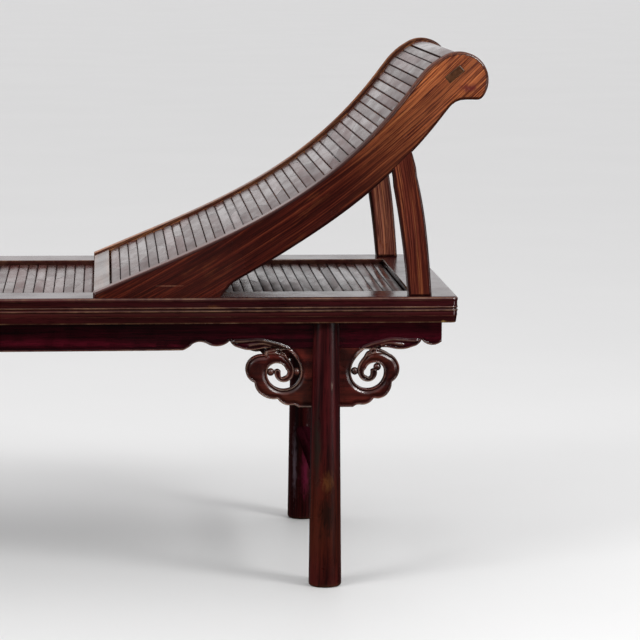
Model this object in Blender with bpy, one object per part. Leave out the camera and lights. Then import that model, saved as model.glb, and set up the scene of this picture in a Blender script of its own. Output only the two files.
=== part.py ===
"""Bench-form lounge chair: a recessed-leg bench with a slatted seat and a fixed, curved, slatted backrest.

Metres, +Z up, feet on z = 0. The head end of the bench is towards +X and its front towards -Y.
"""

import bisect
import math

import bmesh
import bpy
from mathutils import Matrix, Vector

# Whole bench
FIT = 0.0003  # clearance left in every joint
SEAT_HEIGHT = 0.470
BENCH_LENGTH = 1.700
BENCH_DEPTH = 0.560

# Seat frame
RAIL_WIDTH = 0.072
RAIL_HEIGHT = 0.042
RAIL_ROUND = 0.004  # rounding of the top outer edge
RAIL_TAPER = 0.0032  # how far the lower part of the moulding leans in
PANEL_DEPTH = 0.0007  # depth of the sunk bands of the moulding
BEAD_DEPTH = 0.0018  # depth of the V groove between its two beads
BATTEN_WIDTH = 0.036
BATTEN_HEIGHT = 0.022
HOUSING = 0.008  # depth of the housings and grooves that take battens, runners and slats
SEAT_BAYS = 4

# Slats
SLAT_PITCH = 0.0163
SLAT_GAP = 0.0010
SLAT_THICKNESS = 0.006
SEAT_RECESS = 0.008  # seat slats lie this far under the top of the rails
RAMP_RECESS = 0.005  # backrest slats lie this far under the edge of the planks
RUNNER_WIDTH = 0.030
RUNNER_HEIGHT = 0.010
FUSE = 0.0005  # how far a slat sinks into the runner that carries it

# Legs and stretchers
LEG_INSET = 0.206  # from the end of the bench to the leg's axis
LEG_TOP = 0.042  # diameters
LEG_FOOT = 0.051
LEG_SPLAY = 0.010  # how far the foot stands outside the top
LEG_SIDES = 24
TENON_HEIGHT = 0.020
STRETCHER_WIDTH = 0.027
STRETCHER_HEIGHT = 0.020
STRETCHER_TOP = 0.170
STRETCHER_SIDES = 12

# Aprons
APRON_THICKNESS = 0.018
APRON_HEIGHT = 0.046
APRON_REACH = 0.185  # from the leg's axis to the apron's outer end
JOINT_RISE = 0.0027  # the spandrels meet the apron this far above its lower edge
LEAF_START = 0.097  # distances from the leg's axis
LEAF_END = 0.153
ARCH_END = 0.228
CUSP_RISE = 0.0145  # heights above the apron's lower edge
LOBE_RISE = 0.0062
ARCH_RISE = 0.0130

# Spandrels
SPANDREL_DROP = 0.096  # height of a spandrel under its joint with the apron
SPANDREL_REACH = 0.1225  # from the leg's axis to the outermost lobe
SCROLL_X = 0.0677  # centre of the volute from the leg's axis
SCROLL_DROP = 0.0392  # and under the joint
SCROLL_RADIUS = 0.0268  # radius of the pierced round
VOLUTE_RADIUS = 0.0152  # radius of the volute inside it
EYE_RADIUS = 0.0035  # radius of the hole at the heart of the volute
BALL_ANGLES = (25, 178)  # where the ball beads stand round the volute, in degrees
BALL_BITE = 0.0012  # how far a ball bead sinks into the edges that it joins

# Backrest
RAMP_RUN = 0.575  # from the nose of a plank to the head end of the bench
RAMP_RISE = 0.385  # from the seat to the crest
HEAD_RADIUS = 0.044  # radius of the scrolled head
NOSE_HEIGHT = 0.0072
NOSE_ANGLE = math.radians(23)
SHOULDER_ANGLE = math.radians(54)
CREST_ANGLE = math.radians(118)  # where the round of the head begins
TIP_ANGLE = math.radians(-28)  # and where it ends
NECK_ANGLE = math.radians(52)
PLANK_FOOT = 0.2015  # length of plank that stands on the rail
HEEL_ANGLE = math.radians(31.5)
HEEL_RUN = 0.0228  # the steeper stretch just above the heel
HEEL_RISE = 0.0254
PLANK_THICKNESS = 0.032
PLANK_SETBACK = 0.005  # from the face of the rail to the face of the plank
PLANK_ROUND = 0.0032
RAMP_SECTIONS = 3
BOARD_START = math.radians(124)  # arc of the crest board on the head
BOARD_END = math.radians(36)
BOARD_GAP = 0.0022  # gap between the last slat and the crest board
HEAD_RAIL_LENGTH = 0.032  # section of the head rail
HEAD_RAIL_THICKNESS = 0.014
HEAD_TENON_LENGTH = 0.0255  # section of its through tenon
HEAD_TENON_THICKNESS = 0.0105
HEAD_RAIL_ANGLE = math.radians(40)
POST_INSET = 0.0585  # from the head end to the middle of the post's foot
POST_WIDTH = 0.036
POST_LEAN = 0.095
POST_BOW = 0.32  # how fast the lean grows with height
POST_ROUND = 0.003

# Places that follow from the sizes above
MID_X = -HEAD_RADIUS / 2  # middle of the bench, so that the whole chair is centred on x = 0
HEAD_X = MID_X + BENCH_LENGTH / 2
HALF_DEPTH = BENCH_DEPTH / 2
RAIL_BOTTOM = SEAT_HEIGHT - RAIL_HEIGHT
SLAT_BOTTOM = SEAT_HEIGHT - SEAT_RECESS - SLAT_THICKNESS
LEG_Y = HALF_DEPTH - RAIL_WIDTH / 2
APRON_BOTTOM = RAIL_BOTTOM - APRON_HEIGHT
JOINT_Z = APRON_BOTTOM + JOINT_RISE
SPANDREL_BOTTOM = JOINT_Z - SPANDREL_DROP
LEG_REACH = BENCH_LENGTH / 2 - LEG_INSET
PLANK_OUTER = HALF_DEPTH - PLANK_SETBACK
PLANK_INNER = PLANK_OUTER - PLANK_THICKNESS
INNER_LENGTH = BENCH_LENGTH - 2 * RAIL_WIDTH
INNER_DEPTH = BENCH_DEPTH - 2 * RAIL_WIDTH
HEAD_Z = SEAT_HEIGHT + RAMP_RISE - HEAD_RADIUS
SLAT_UNDER = RAMP_RECESS + SLAT_THICKNESS  # from the edge of a plank to the underside of the slats


def material(name, colour, roughness):
    """A plain Principled material."""
    made = bpy.data.materials.new(name)
    made.use_nodes = True
    shader = made.node_tree.nodes["Principled BSDF"]
    shader.inputs["Base Color"].default_value = (*colour, 1)
    shader.inputs["Roughness"].default_value = roughness
    return made


def solid(name, bm, finish=None):
    """An object from a bmesh, with its faces turned outwards."""
    bmesh.ops.recalc_face_normals(bm, faces=bm.faces)
    mesh = bpy.data.meshes.new(name)
    bm.to_mesh(mesh)
    bm.free()
    made = bpy.data.objects.new(name, mesh)
    bpy.context.scene.collection.objects.link(made)
    if finish:
        mesh.materials.append(finish)
    return made


def loft(name, ring, other, finish=None):
    """A solid between two rings of as many points."""
    bm = bmesh.new()
    first = [bm.verts.new(point) for point in ring]
    second = [bm.verts.new(point) for point in other]
    bm.faces.new(first)
    bm.faces.new(second[::-1])
    for i in range(len(ring)):
        bm.faces.new((first[i - 1], first[i], second[i], second[i - 1]))
    return solid(name, bm, finish)


def prism(name, outline, y_from, y_to, finish=None, rounding=0.0):
    """An outline in X and Z drawn out along Y, with the rims of both faces rounded over."""
    bm = bmesh.new()
    rims = []
    rings = [[bm.verts.new((x, y, z)) for x, z in outline] for y in (y_from, y_to)]
    for ring in rings:
        rims += bm.faces.new(ring).edges
    for i in range(len(outline)):
        bm.faces.new((rings[0][i - 1], rings[0][i], rings[1][i], rings[1][i - 1]))
    bmesh.ops.recalc_face_normals(bm, faces=bm.faces)
    if rounding:
        bmesh.ops.bevel(bm, geom=rims, offset=rounding, segments=2, profile=0.5, affect="EDGES")
    return solid(name, bm, finish)


def block(name, centre, size, finish=None, lean=0.0):
    """A box, turned by lean in the plane of X and Z."""
    bm = bmesh.new()
    place = Matrix.Translation(centre) @ Matrix.Rotation(-lean, 4, "Y") @ Matrix.Diagonal((*size, 1))
    bmesh.ops.create_cube(bm, size=1, matrix=place)
    return solid(name, bm, finish)


def grown(size):
    """The size of the hole for a piece of this size."""
    return [length + 2 * FIT for length in size]


def combine(target, tool, operation):
    """Cuts the tool out of the target, or joins it on, and uses the tool up."""
    modifier = target.modifiers.new(operation, "BOOLEAN")
    modifier.operation = operation
    modifier.solver = "EXACT"
    modifier.object = tool
    graph = bpy.context.evaluated_depsgraph_get()
    mesh = bpy.data.meshes.new_from_object(target.evaluated_get(graph))
    target.modifiers.clear()
    target.data = mesh
    bpy.data.objects.remove(tool)


def gathered(tools):
    """One tool from several that lie apart."""
    bm = bmesh.new()
    for tool in tools:
        bm.from_mesh(tool.data)
        bpy.data.objects.remove(tool)
    return solid("tools", bm)


def cut(target, tool):
    combine(target, tool, "DIFFERENCE")


def join(target, tool):
    combine(target, tool, "UNION")


def arc(start, via, end, steps):
    """Points of the circular arc through three points, without its last one."""
    (ax, az), (bx, bz), (cx, cz) = start, via, end
    d = 2 * (ax * (bz - cz) + bx * (cz - az) + cx * (az - bz))
    a, b, c = ax * ax + az * az, bx * bx + bz * bz, cx * cx + cz * cz
    ux = (a * (bz - cz) + b * (cz - az) + c * (az - bz)) / d
    uz = (a * (cx - bx) + b * (ax - cx) + c * (bx - ax)) / d
    radius = math.hypot(ax - ux, az - uz)
    turn = math.tau if d > 0 else -math.tau
    first = math.atan2(az - uz, ax - ux)
    sweep = (math.atan2(cz - uz, cx - ux) - first) % turn
    angles = [first + sweep * i / steps for i in range(steps)]
    return [(ux + radius * math.cos(angle), uz + radius * math.sin(angle)) for angle in angles]


def bow(start, leaving, end, arriving, steps, pull=0.38):
    """Points of a curve between two points with given headings, without its last one."""
    reach = pull * math.dist(start, end)
    near = (start[0] + reach * math.cos(leaving), start[1] + reach * math.sin(leaving))
    far = (end[0] - reach * math.cos(arriving), end[1] - reach * math.sin(arriving))
    points = []
    for i in range(steps):
        t = i / steps
        weights = ((1 - t) ** 3, 3 * t * (1 - t) ** 2, 3 * t * t * (1 - t), t**3)
        corners = (start, near, far, end)
        points.append(tuple(sum(w * p[k] for w, p in zip(weights, corners)) for k in (0, 1)))
    return points


def eased(value, start, end, before, after):
    """Goes smoothly from one size to another while the value goes from start to end."""
    t = min(max((value - start) / (end - start), 0), 1)
    return before + (after - before) * t * t * (3 - 2 * t)


def rail_section(grooved):
    """Section of a seat rail: distances in from the outer face, and heights from the seat's top.

    Under its rounded top edge come a sunk band, two beads with a groove between them, and a leaning band.
    """
    turns = [math.radians(angle) for angle in (0, 30, 60, 90)]
    points = [(RAIL_ROUND * (1 - math.sin(a)), RAIL_ROUND * (math.cos(a) - 1)) for a in turns]
    steps = [(0.13, PANEL_DEPTH), (0.34, PANEL_DEPTH), (0.36, 0), (0.43, 0), (0.46, BEAD_DEPTH)]
    steps += [(0.49, 0), (0.56, 0), (0.58, PANEL_DEPTH), (0.68, PANEL_DEPTH), (1, RAIL_TAPER)]
    points += [(inset, -RAIL_HEIGHT * part) for part, inset in steps]
    points.append((RAIL_WIDTH, -RAIL_HEIGHT))
    if grooved:
        floor = -SEAT_RECESS - SLAT_THICKNESS - FIT
        roof = -SEAT_RECESS + FIT
        back = RAIL_WIDTH - HOUSING
        points += [(RAIL_WIDTH, floor), (back, floor), (back, roof), (RAIL_WIDTH, roof)]
    return points + [(RAIL_WIDTH, 0)]


def seat_rail(name, half_length, half_width, side, along_x, finish):
    """A moulded rail, mitred at both ends, on one side of the frame."""
    rings = []
    for end in (-1, 1):
        ring = []
        for inset, height in rail_section(along_x):
            along = end * (half_length - inset - FIT / math.sqrt(2))
            across = side * (half_width - inset)
            x, y = (along, across) if along_x else (across, along)
            ring.append((MID_X + x, y, SEAT_HEIGHT + height))
        rings.append(ring)
    return loft(name, *rings, finish)


def seat_frame(finish):
    """Four mitred rails. The long ones carry tenons that enter the end ones."""
    half = BENCH_LENGTH / 2
    long_rails = {s: seat_rail(f"rail_{n}", half, HALF_DEPTH, s, True, finish) for s, n in SIDES}
    end_rails = {e: seat_rail(f"rail_{n}_end", HALF_DEPTH, half, e, False, finish) for e, n in ENDS}
    size = (0.8 * RAIL_WIDTH, 0.32 * RAIL_WIDTH, 0.3 * RAIL_HEIGHT)
    for side, rail in long_rails.items():
        for end, end_rail in end_rails.items():
            x = MID_X + end * (half - 0.62 * RAIL_WIDTH)
            centre = (x, side * (HALF_DEPTH - 0.6 * RAIL_WIDTH), SEAT_HEIGHT - 0.65 * RAIL_HEIGHT)
            join(rail, block("tenon", centre, size))
            cut(end_rail, block("mortise", centre, grown(size)))
    return long_rails, end_rails


def leg_circle(x, side, z):
    """Axis and radius of a leg at a height."""
    rise = z / RAIL_BOTTOM
    y = side * (LEG_Y + LEG_SPLAY * (1 - rise))
    return Vector((x, y, z)), (LEG_FOOT + (LEG_TOP - LEG_FOOT) * rise) / 2


def leg_ring(x, side, z):
    centre, radius = leg_circle(x, side, z)
    turns = [math.tau * i / LEG_SIDES for i in range(LEG_SIDES)]
    return [centre + radius * Vector((math.cos(turn), math.sin(turn), 0)) for turn in turns]


def leg(name, x, side, rail, finish):
    """A splayed, tapering leg, forked round the apron and the spandrels, with a tenon on each prong."""
    top = RAIL_BOTTOM - FIT
    made = loft(name, leg_ring(x, side, 0), leg_ring(x, side, top), finish)
    depth = RAIL_BOTTOM - SPANDREL_BOTTOM + FIT
    slot = (2 * LEG_FOOT, APRON_THICKNESS + 2 * FIT, 2 * depth)
    cut(made, block("slot", (x, side * LEG_Y, RAIL_BOTTOM), slot))
    prong = (LEG_TOP - APRON_THICKNESS) / 2
    size = (0.4 * LEG_TOP, 0.5 * prong, TENON_HEIGHT + prong)
    for face in (-1, 1):
        y = side * LEG_Y + face * (APRON_THICKNESS + prong) / 2
        centre = (x, y, top + TENON_HEIGHT / 2 - prong / 2)
        join(made, block("tenon", centre, size))
        cut(rail, block("mortise", centre, grown(size)))
    return made


def apron_wave(outer):
    """Lower edge of an apron from the leg's axis to one side: distances, and heights from the lower edge."""
    leaf = (LEAF_START, JOINT_RISE)
    belly = (0.72 * LEAF_START + 0.28 * LEAF_END, 0)
    cheek = (0.25 * LEAF_START + 0.75 * LEAF_END, 0.25 * CUSP_RISE)
    cusp = (LEAF_END, CUSP_RISE)
    points = [leaf] + arc(belly, (0.5 * (belly[0] + cheek[0]), 0.002 * CUSP_RISE), cheek, 3)
    points += arc(cheek, (0.35 * cheek[0] + 0.65 * cusp[0], 0.55 * CUSP_RISE), cusp, 4)
    span = APRON_REACH - LEAF_END
    if outer:
        end = (APRON_REACH, 0.8 * CUSP_RISE)
        return points + arc(cusp, (LEAF_END + 0.55 * span, LOBE_RISE), end, 6) + [end]
    lobe = (LEAF_END + 0.5 * (ARCH_END - LEAF_END), 0.75 * CUSP_RISE)
    crown = (0.62 * lobe[0] + 0.38 * ARCH_END, ARCH_RISE)
    fall = (0.3 * lobe[0] + 0.7 * ARCH_END, 0.45 * ARCH_RISE)
    points += arc(cusp, (0.4 * cusp[0] + 0.6 * lobe[0], LOBE_RISE), lobe, 6)
    points += arc(lobe, crown, fall, 5)
    return points + [fall, (ARCH_END, 0)]


def apron(name, side, finish):
    """A long apron that passes through the forks of both legs on its side."""
    edge = [(-LEG_REACH - x, z) for x, z in reversed(apron_wave(True))]
    edge += [(-LEG_REACH + x, z) for x, z in apron_wave(False)]
    edge += [(-x, z) for x, z in reversed(edge)]
    end = LEG_REACH + APRON_REACH
    points = [(MID_X + x, APRON_BOTTOM + z) for x, z in edge]
    points += [(MID_X + end, RAIL_BOTTOM - FIT), (MID_X - end, RAIL_BOTTOM - FIT)]
    half = APRON_THICKNESS / 2
    return prism(name, points, side * LEG_Y - half, side * LEG_Y + half, finish)


def end_apron(name, end, aprons, finish):
    """A short apron housed in the inner faces of the long ones."""
    x = MID_X + end * (LEG_REACH + APRON_REACH - 1.1 * APRON_THICKNESS)
    bottom = APRON_BOTTOM + 1.1 * CUSP_RISE
    top = RAIL_BOTTOM - FIT
    length = 2 * LEG_Y - APRON_THICKNESS + HOUSING
    size = (0.75 * APRON_THICKNESS, length, top - bottom)
    centre = (x, 0, (top + bottom) / 2)
    for board in aprons.values():
        hole = grown(size)
        cut(board, block("housing", (x, 0, centre[2] + FIT), (hole[0], hole[1], hole[2] + 2 * FIT)))
    return block(name, centre, size, finish)


def spandrel_outline():
    """Cloud outline: distances from the leg's axis and heights from the joint with the apron."""

    def at(x, z):
        return (x * SPANDREL_REACH, -z * SPANDREL_DROP)

    foot, step, sole = at(0.359, 1), at(0.433, 0.960), at(0.629, 0.856)
    waist, throat = at(0.894, 0.583), at(0.784, 0.109)
    points = [(FIT / 2, -SPANDREL_DROP)] + arc(foot, at(0.388, 0.974), step, 3)
    points += arc(step, at(0.551, 0.943), sole, 4)
    points += arc(sole, at(0.812, 0.797), waist, 6)
    points += arc(waist, at(1, 0.365), throat, 9)
    return points + [throat, (LEAF_START, -FIT), (FIT / 2, -FIT)]


def scroll_channel():
    """Outline of the pierced spiral. It runs anticlockwise from the top, and its angle counts on past a turn."""
    mouth = 1.4 * SCROLL_RADIUS
    outer = []
    for degrees in range(88, 661, 18):
        radius = eased(degrees, 88, 170, mouth, SCROLL_RADIUS)
        radius = eased(degrees, 375, 520, radius, EYE_RADIUS)
        outer.append((degrees, radius))
    inner = []
    for degrees in range(412, 79, -18):
        radius = eased(degrees, 78, 165, 0.86 * mouth, VOLUTE_RADIUS)
        radius = eased(degrees, 388, 412, radius, 1.4 * EYE_RADIUS)
        inner.append((degrees, radius))
    points = []
    for degrees, radius in outer + inner:
        turn = math.radians(degrees)
        points.append((SCROLL_X + radius * math.cos(turn), -SCROLL_DROP + radius * math.sin(turn)))
    return points


def ball(name, radius, x, z):
    bm = bmesh.new()
    bmesh.ops.create_icosphere(bm, subdivisions=2, radius=radius)
    bmesh.ops.translate(bm, verts=bm.verts, vec=(x, 0, z))
    return solid(name, bm)


def spandrel_mesh(hand, finish):
    """A pierced spandrel about its leg's axis and its joint with the apron. Ball beads bridge the spiral."""
    half = APRON_THICKNESS / 2

    def facing(points):
        return [(hand * x, z) for x, z in points]

    made = prism("spandrel", facing(spandrel_outline()), -half, half, finish)
    cut(made, prism("channel", facing(scroll_channel()), -2 * half, 2 * half))
    middle = (SCROLL_RADIUS + VOLUTE_RADIUS) / 2
    radius = (SCROLL_RADIUS - VOLUTE_RADIUS) / 2 + BALL_BITE
    for degrees in BALL_ANGLES:
        turn = math.radians(degrees)
        x = hand * (SCROLL_X + middle * math.cos(turn))
        join(made, ball("bead", radius, x, -SCROLL_DROP + middle * math.sin(turn)))
    mesh = made.data
    bpy.data.objects.remove(made)
    return mesh


def spandrels(finish):
    """A pair at each leg, all cut to the same two patterns."""
    meshes = {hand: spandrel_mesh(hand, finish) for hand in (-1, 1)}
    for side, side_name in SIDES:
        for end, end_name in ENDS:
            for hand, mesh in meshes.items():
                place = "outer" if hand == end else "inner"
                made = bpy.data.objects.new(f"spandrel_{side_name}_{end_name}_{place}", mesh)
                made.location = (MID_X + end * LEG_REACH, side * LEG_Y, JOINT_Z)
                bpy.context.scene.collection.objects.link(made)


def oval_bar(name, x, z, half_length, spare, finish=None):
    """A bar along Y with an oval section, larger all round by spare."""
    rings = []
    for end in (-1, 1):
        ring = []
        for i in range(STRETCHER_SIDES):
            turn = math.tau * (i + 0.5) / STRETCHER_SIDES
            across, up = (math.copysign(abs(k) ** 0.7, k) for k in (math.cos(turn), math.sin(turn)))
            side = (STRETCHER_WIDTH / 2 + spare) * across
            ring.append((x + side, end * (half_length + spare), z + (STRETCHER_HEIGHT / 2 + spare) * up))
        rings.append(ring)
    return loft(name, *rings, finish)


def stretcher(name, end, legs, finish):
    """A bar housed in the front and the back leg of one end."""
    x = MID_X + end * LEG_REACH
    z = STRETCHER_TOP - STRETCHER_HEIGHT / 2
    axis, radius = leg_circle(x, 1, z)
    half_length = axis.y - 0.3 * radius
    for upright in legs:
        cut(upright, oval_bar("housing", x, z, half_length, 2 * FIT))
    oval_bar(name, x, z, half_length, 0, finish)


def seat_battens(long_rails, finish):
    """Crosswise battens under the seat, housed in the long rails."""
    battens = []
    top = SLAT_BOTTOM - FIT
    size = (BATTEN_WIDTH, INNER_DEPTH + 4 * HOUSING, BATTEN_HEIGHT)
    for i in range(1, SEAT_BAYS):
        x = MID_X + INNER_LENGTH * (i / SEAT_BAYS - 0.5)
        centre = (x, 0, top - BATTEN_HEIGHT / 2)
        for rail in long_rails.values():
            cut(rail, block("housing", centre, grown(size)))
        battens.append(block(f"seat_batten_{i}", centre, size, finish))
    return battens


def seat_slats(index, ends, finish):
    """The slats of one bay on the runner that carries them. The runner is housed in the pieces at its ends."""
    bay = INNER_LENGTH / SEAT_BAYS
    start = MID_X + INNER_LENGTH * (index / SEAT_BAYS - 0.5)
    gaps = [BATTEN_WIDTH / 2 if 0 < i < SEAT_BAYS else 0 for i in (index, index + 1)]
    low = start + gaps[0] - HOUSING + FIT
    high = start + bay - gaps[1] + HOUSING - FIT
    height = RUNNER_HEIGHT + FUSE
    size = (high - low, RUNNER_WIDTH, height)
    centre = ((low + high) / 2, 0, SLAT_BOTTOM + FUSE - height / 2)
    made = block(f"seat_slats_{index + 1}", centre, size, finish)
    for piece in ends:
        cut(piece, block("housing", centre, grown(size)))
    count = round(bay / SLAT_PITCH)
    pitch = bay / count
    size = (pitch - SLAT_GAP, INNER_DEPTH + 2 * HOUSING - 2 * FIT, SLAT_THICKNESS)
    slats = []
    for i in range(count):
        x = start + pitch * (i + 0.5)
        slats.append(block("slat", (x, 0, SLAT_BOTTOM + SLAT_THICKNESS / 2), size))
    join(made, gathered(slats))


def on_head(angle, radius=HEAD_RADIUS):
    """A point on the round of a plank's head."""
    return (HEAD_X + radius * math.cos(angle), HEAD_Z + radius * math.sin(angle))


def plank_edge(last_angle):
    """Upper edge of a plank, from its nose up the ramp and round the head to an angle."""
    nose = (HEAD_X - RAMP_RUN, SEAT_HEIGHT + NOSE_HEIGHT)
    shoulder = (HEAD_X - 1.57 * HEAD_RADIUS, HEAD_Z - 0.12 * HEAD_RADIUS)
    crest = on_head(CREST_ANGLE)
    points = bow(nose, NOSE_ANGLE, shoulder, SHOULDER_ANGLE, 24)
    points += bow(shoulder, SHOULDER_ANGLE, crest, CREST_ANGLE - math.pi / 2, 5)
    steps = 12
    turns = [CREST_ANGLE + (last_angle - CREST_ANGLE) * i / steps for i in range(steps + 1)]
    return points + [on_head(turn) for turn in turns]


def plank_underside():
    """Lower edge of a plank from the tip of the scroll back to the heel on the rail."""
    chin = HEAD_Z - 0.69 * HEAD_RADIUS
    lip = (HEAD_X + 0.61 * HEAD_RADIUS, chin)
    hook = (HEAD_X + 0.2 * HEAD_RADIUS, chin)
    neck = (HEAD_X - 0.41 * HEAD_RADIUS, HEAD_Z - 0.98 * HEAD_RADIUS)
    heel = (HEAD_X - RAMP_RUN + PLANK_FOOT, SEAT_HEIGHT + FIT)
    calf = (heel[0] + HEEL_RUN, heel[1] + HEEL_RISE)
    back = math.pi
    points = bow(on_head(TIP_ANGLE), TIP_ANGLE - back / 2, lip, -back, 4)[1:]
    points += [lip] + bow(hook, back, neck, back + NECK_ANGLE, 4)
    points += bow(neck, back + NECK_ANGLE, calf, back + HEEL_ANGLE, 16, 0.4)
    return points + bow(calf, back + HEEL_ANGLE, heel, back + NECK_ANGLE, 3) + [heel]


def ramp_path():
    """The plank's upper edge with its normals into the plank, and the distance along the tops of the slats."""
    edge = plank_edge(BOARD_END)
    path = []
    length = 0
    for i, point in enumerate(edge):
        before = edge[max(i - 1, 0)]
        after = edge[min(i + 1, len(edge) - 1)]
        run = math.dist(before, after)
        normal = ((after[1] - before[1]) / run, (before[0] - after[0]) / run)
        top = (point[0] + RAMP_RECESS * normal[0], point[1] + RAMP_RECESS * normal[1])
        length += math.dist(top, last_top) if path else 0
        path.append((length, *point, *normal))
        last_top = top
    return path


def along(path, distance):
    """The place on the path at a distance, between its points."""
    i = min(max(bisect.bisect(path, (distance,)), 1), len(path) - 1)
    low, high = path[i - 1], path[i]
    t = (distance - low[0]) / (high[0] - low[0])
    return tuple(a + (b - a) * t for a, b in zip(low, high))


def under(place, depth):
    """The point at a depth under a place on the path."""
    return (place[1] + depth * place[3], place[2] + depth * place[4])


def band(path, start, end, upper, lower):
    """Outline of a strip that follows the path between two distances and two depths."""
    places = [along(path, start)]
    places += [place for place in path if start < place[0] < end]
    places.append(along(path, end))
    return [under(p, upper) for p in places] + [under(p, lower) for p in reversed(places)]


def slat_range(path):
    """Distances at which the slats begin, just clear of the rails, and end at the crest board."""
    clear = SEAT_HEIGHT + 2 * FIT
    begin = next(place[0] for place in path if under(place, SLAT_UNDER)[1] > clear)
    step = (CREST_ANGLE - BOARD_START) * (HEAD_RADIUS - RAMP_RECESS)
    crest = path[[place[1:3] for place in path].index(on_head(CREST_ANGLE))][0]
    return begin, crest + step


def ramp_batten(name, path, distance, planks, finish):
    """A cross batten under the slats, housed in both planks."""
    place = along(path, distance)
    x, z = under(place, SLAT_UNDER + FIT + BATTEN_HEIGHT / 2)
    lean = math.atan2(place[3], -place[4])
    size = (BATTEN_WIDTH, 2 * (PLANK_INNER + HOUSING), BATTEN_HEIGHT)
    for plank in planks:
        cut(plank, block("housing", (x, 0, z), grown(size), lean=lean))
    return block(name, (x, 0, z), size, finish, lean)


def runner_outline(path, start, end, spare):
    """The backrest's runner from the side. Its foot lies on the seat slats."""
    floor = SEAT_HEIGHT - SEAT_RECESS + FIT - spare
    points = band(path, start - spare, end + spare, SLAT_UNDER - FUSE - spare, SLAT_UNDER + RUNNER_HEIGHT + spare)
    return [(x, max(z, floor)) for x, z in points]


def ramp_slats(index, path, battens, head_rail_hole, finish):
    """One section of backrest slats on its curved runner, which is housed in the battens at its ends."""
    begin, end = slat_range(path)
    count = round((end - begin) / SLAT_PITCH / RAMP_SECTIONS)
    pitch = (end - begin) / count / RAMP_SECTIONS
    first = begin + index * count * pitch
    last = first + count * pitch
    edge = BATTEN_WIDTH / 2 - HOUSING + FIT
    low = first + (edge if index else SLAT_GAP)
    high = last - (edge if index < RAMP_SECTIONS - 1 else pitch / 2)
    half = RUNNER_WIDTH / 2
    made = prism(f"ramp_slats_{index + 1}", runner_outline(path, low, high, 0), -half, half, finish)
    for batten in battens:
        cut(batten, prism("housing", runner_outline(path, low, high, FIT), -half - FIT, half + FIT))
    reach = PLANK_INNER + HOUSING - FIT
    slats = []
    for i in range(count):
        start = first + pitch * i + SLAT_GAP / 2
        outline = band(path, start, start + pitch - SLAT_GAP, RAMP_RECESS, SLAT_UNDER)
        slats.append(prism("slat", outline, -reach, reach))
    join(made, gathered(slats))
    cut(made, head_rail_hole)


def crest_board(path, finish):
    """The curved board over the crest, in the same grooves as the slats."""
    start = slat_range(path)[1] + BOARD_GAP - SLAT_GAP / 2
    reach = PLANK_INNER + HOUSING - FIT
    outline = band(path, start, path[-1][0] - FIT, RAMP_RECESS, SLAT_UNDER)
    return prism("crest_board", outline, -reach, reach, finish)


def head_rail(planks, finish):
    """The rail between the heads of the planks, with tenons that show on their faces."""
    x, z = on_head(HEAD_RAIL_ANGLE + math.radians(90), 0.29 * HEAD_RADIUS)
    tenon = (HEAD_TENON_LENGTH, 2 * PLANK_OUTER, HEAD_TENON_THICKNESS)
    body = (HEAD_RAIL_LENGTH, 2 * PLANK_INNER - 2 * FIT, HEAD_RAIL_THICKNESS)
    made = block("head_rail", (x, 0, z), body, finish, HEAD_RAIL_ANGLE)
    join(made, block("tenon", (x, 0, z), tenon, lean=HEAD_RAIL_ANGLE))
    for plank in planks:
        cut(plank, block("mortise", (x, 0, z), grown(tenon), lean=HEAD_RAIL_ANGLE))
    return made, ((x, 0, z), grown(body), HEAD_RAIL_ANGLE)


def foot_strip(path, finish):
    """The strip between the noses of the planks, in front of the first slat."""
    begin = slat_range(path)[0] - SLAT_GAP
    nose = under(path[0], RAMP_RECESS / 2)
    last = under(along(path, begin), RAMP_RECESS / 2)
    floor = SEAT_HEIGHT + FIT
    outline = [(nose[0], floor), nose, last, (last[0], floor)]
    reach = PLANK_INNER - FIT
    return prism("ramp_foot_strip", outline, -reach, reach, finish)


def side_plank(name, side, path, finish):
    """A side plank of the backrest, grooved for the slats on its inner face."""
    nose = [(HEAD_X - RAMP_RUN, SEAT_HEIGHT + FIT)]
    outline = plank_edge(TIP_ANGLE) + plank_underside() + nose
    made = prism(name, outline, side * PLANK_INNER, side * PLANK_OUTER, finish, PLANK_ROUND)
    groove = band(path, slat_range(path)[0] - FIT, path[-1][0], RAMP_RECESS - FIT, SLAT_UNDER + FIT)
    cut(made, prism("groove", groove, side * (PLANK_INNER - HOUSING), side * (PLANK_INNER + HOUSING)))
    return made


def post_middle(z):
    """Where the middle of a post is along the bench at a height."""
    rise = z - SEAT_HEIGHT
    return HEAD_X - POST_INSET - POST_LEAN * rise - POST_BOW * rise * rise


def post_meeting():
    """Height at which the middle of a post meets the underside of its plank."""
    edge = plank_underside()
    gaps = [x - post_middle(z) for x, z in edge]
    i = next(i for i, gap in enumerate(gaps) if gap < 0)
    part = gaps[i] / (gaps[i] - gaps[i - 1])
    return edge[i][1] + part * (edge[i - 1][1] - edge[i][1])


def post_outline(top):
    """A post from the side, from the rail to a height."""
    steps = 8
    floor = SEAT_HEIGHT + FIT
    heights = [floor + (top - floor) * i / steps for i in range(steps + 1)]
    left = [(post_middle(z) - POST_WIDTH / 2, z) for z in heights]
    right = [(post_middle(z) + POST_WIDTH / 2, z) for z in reversed(heights)]
    return left + right


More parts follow.
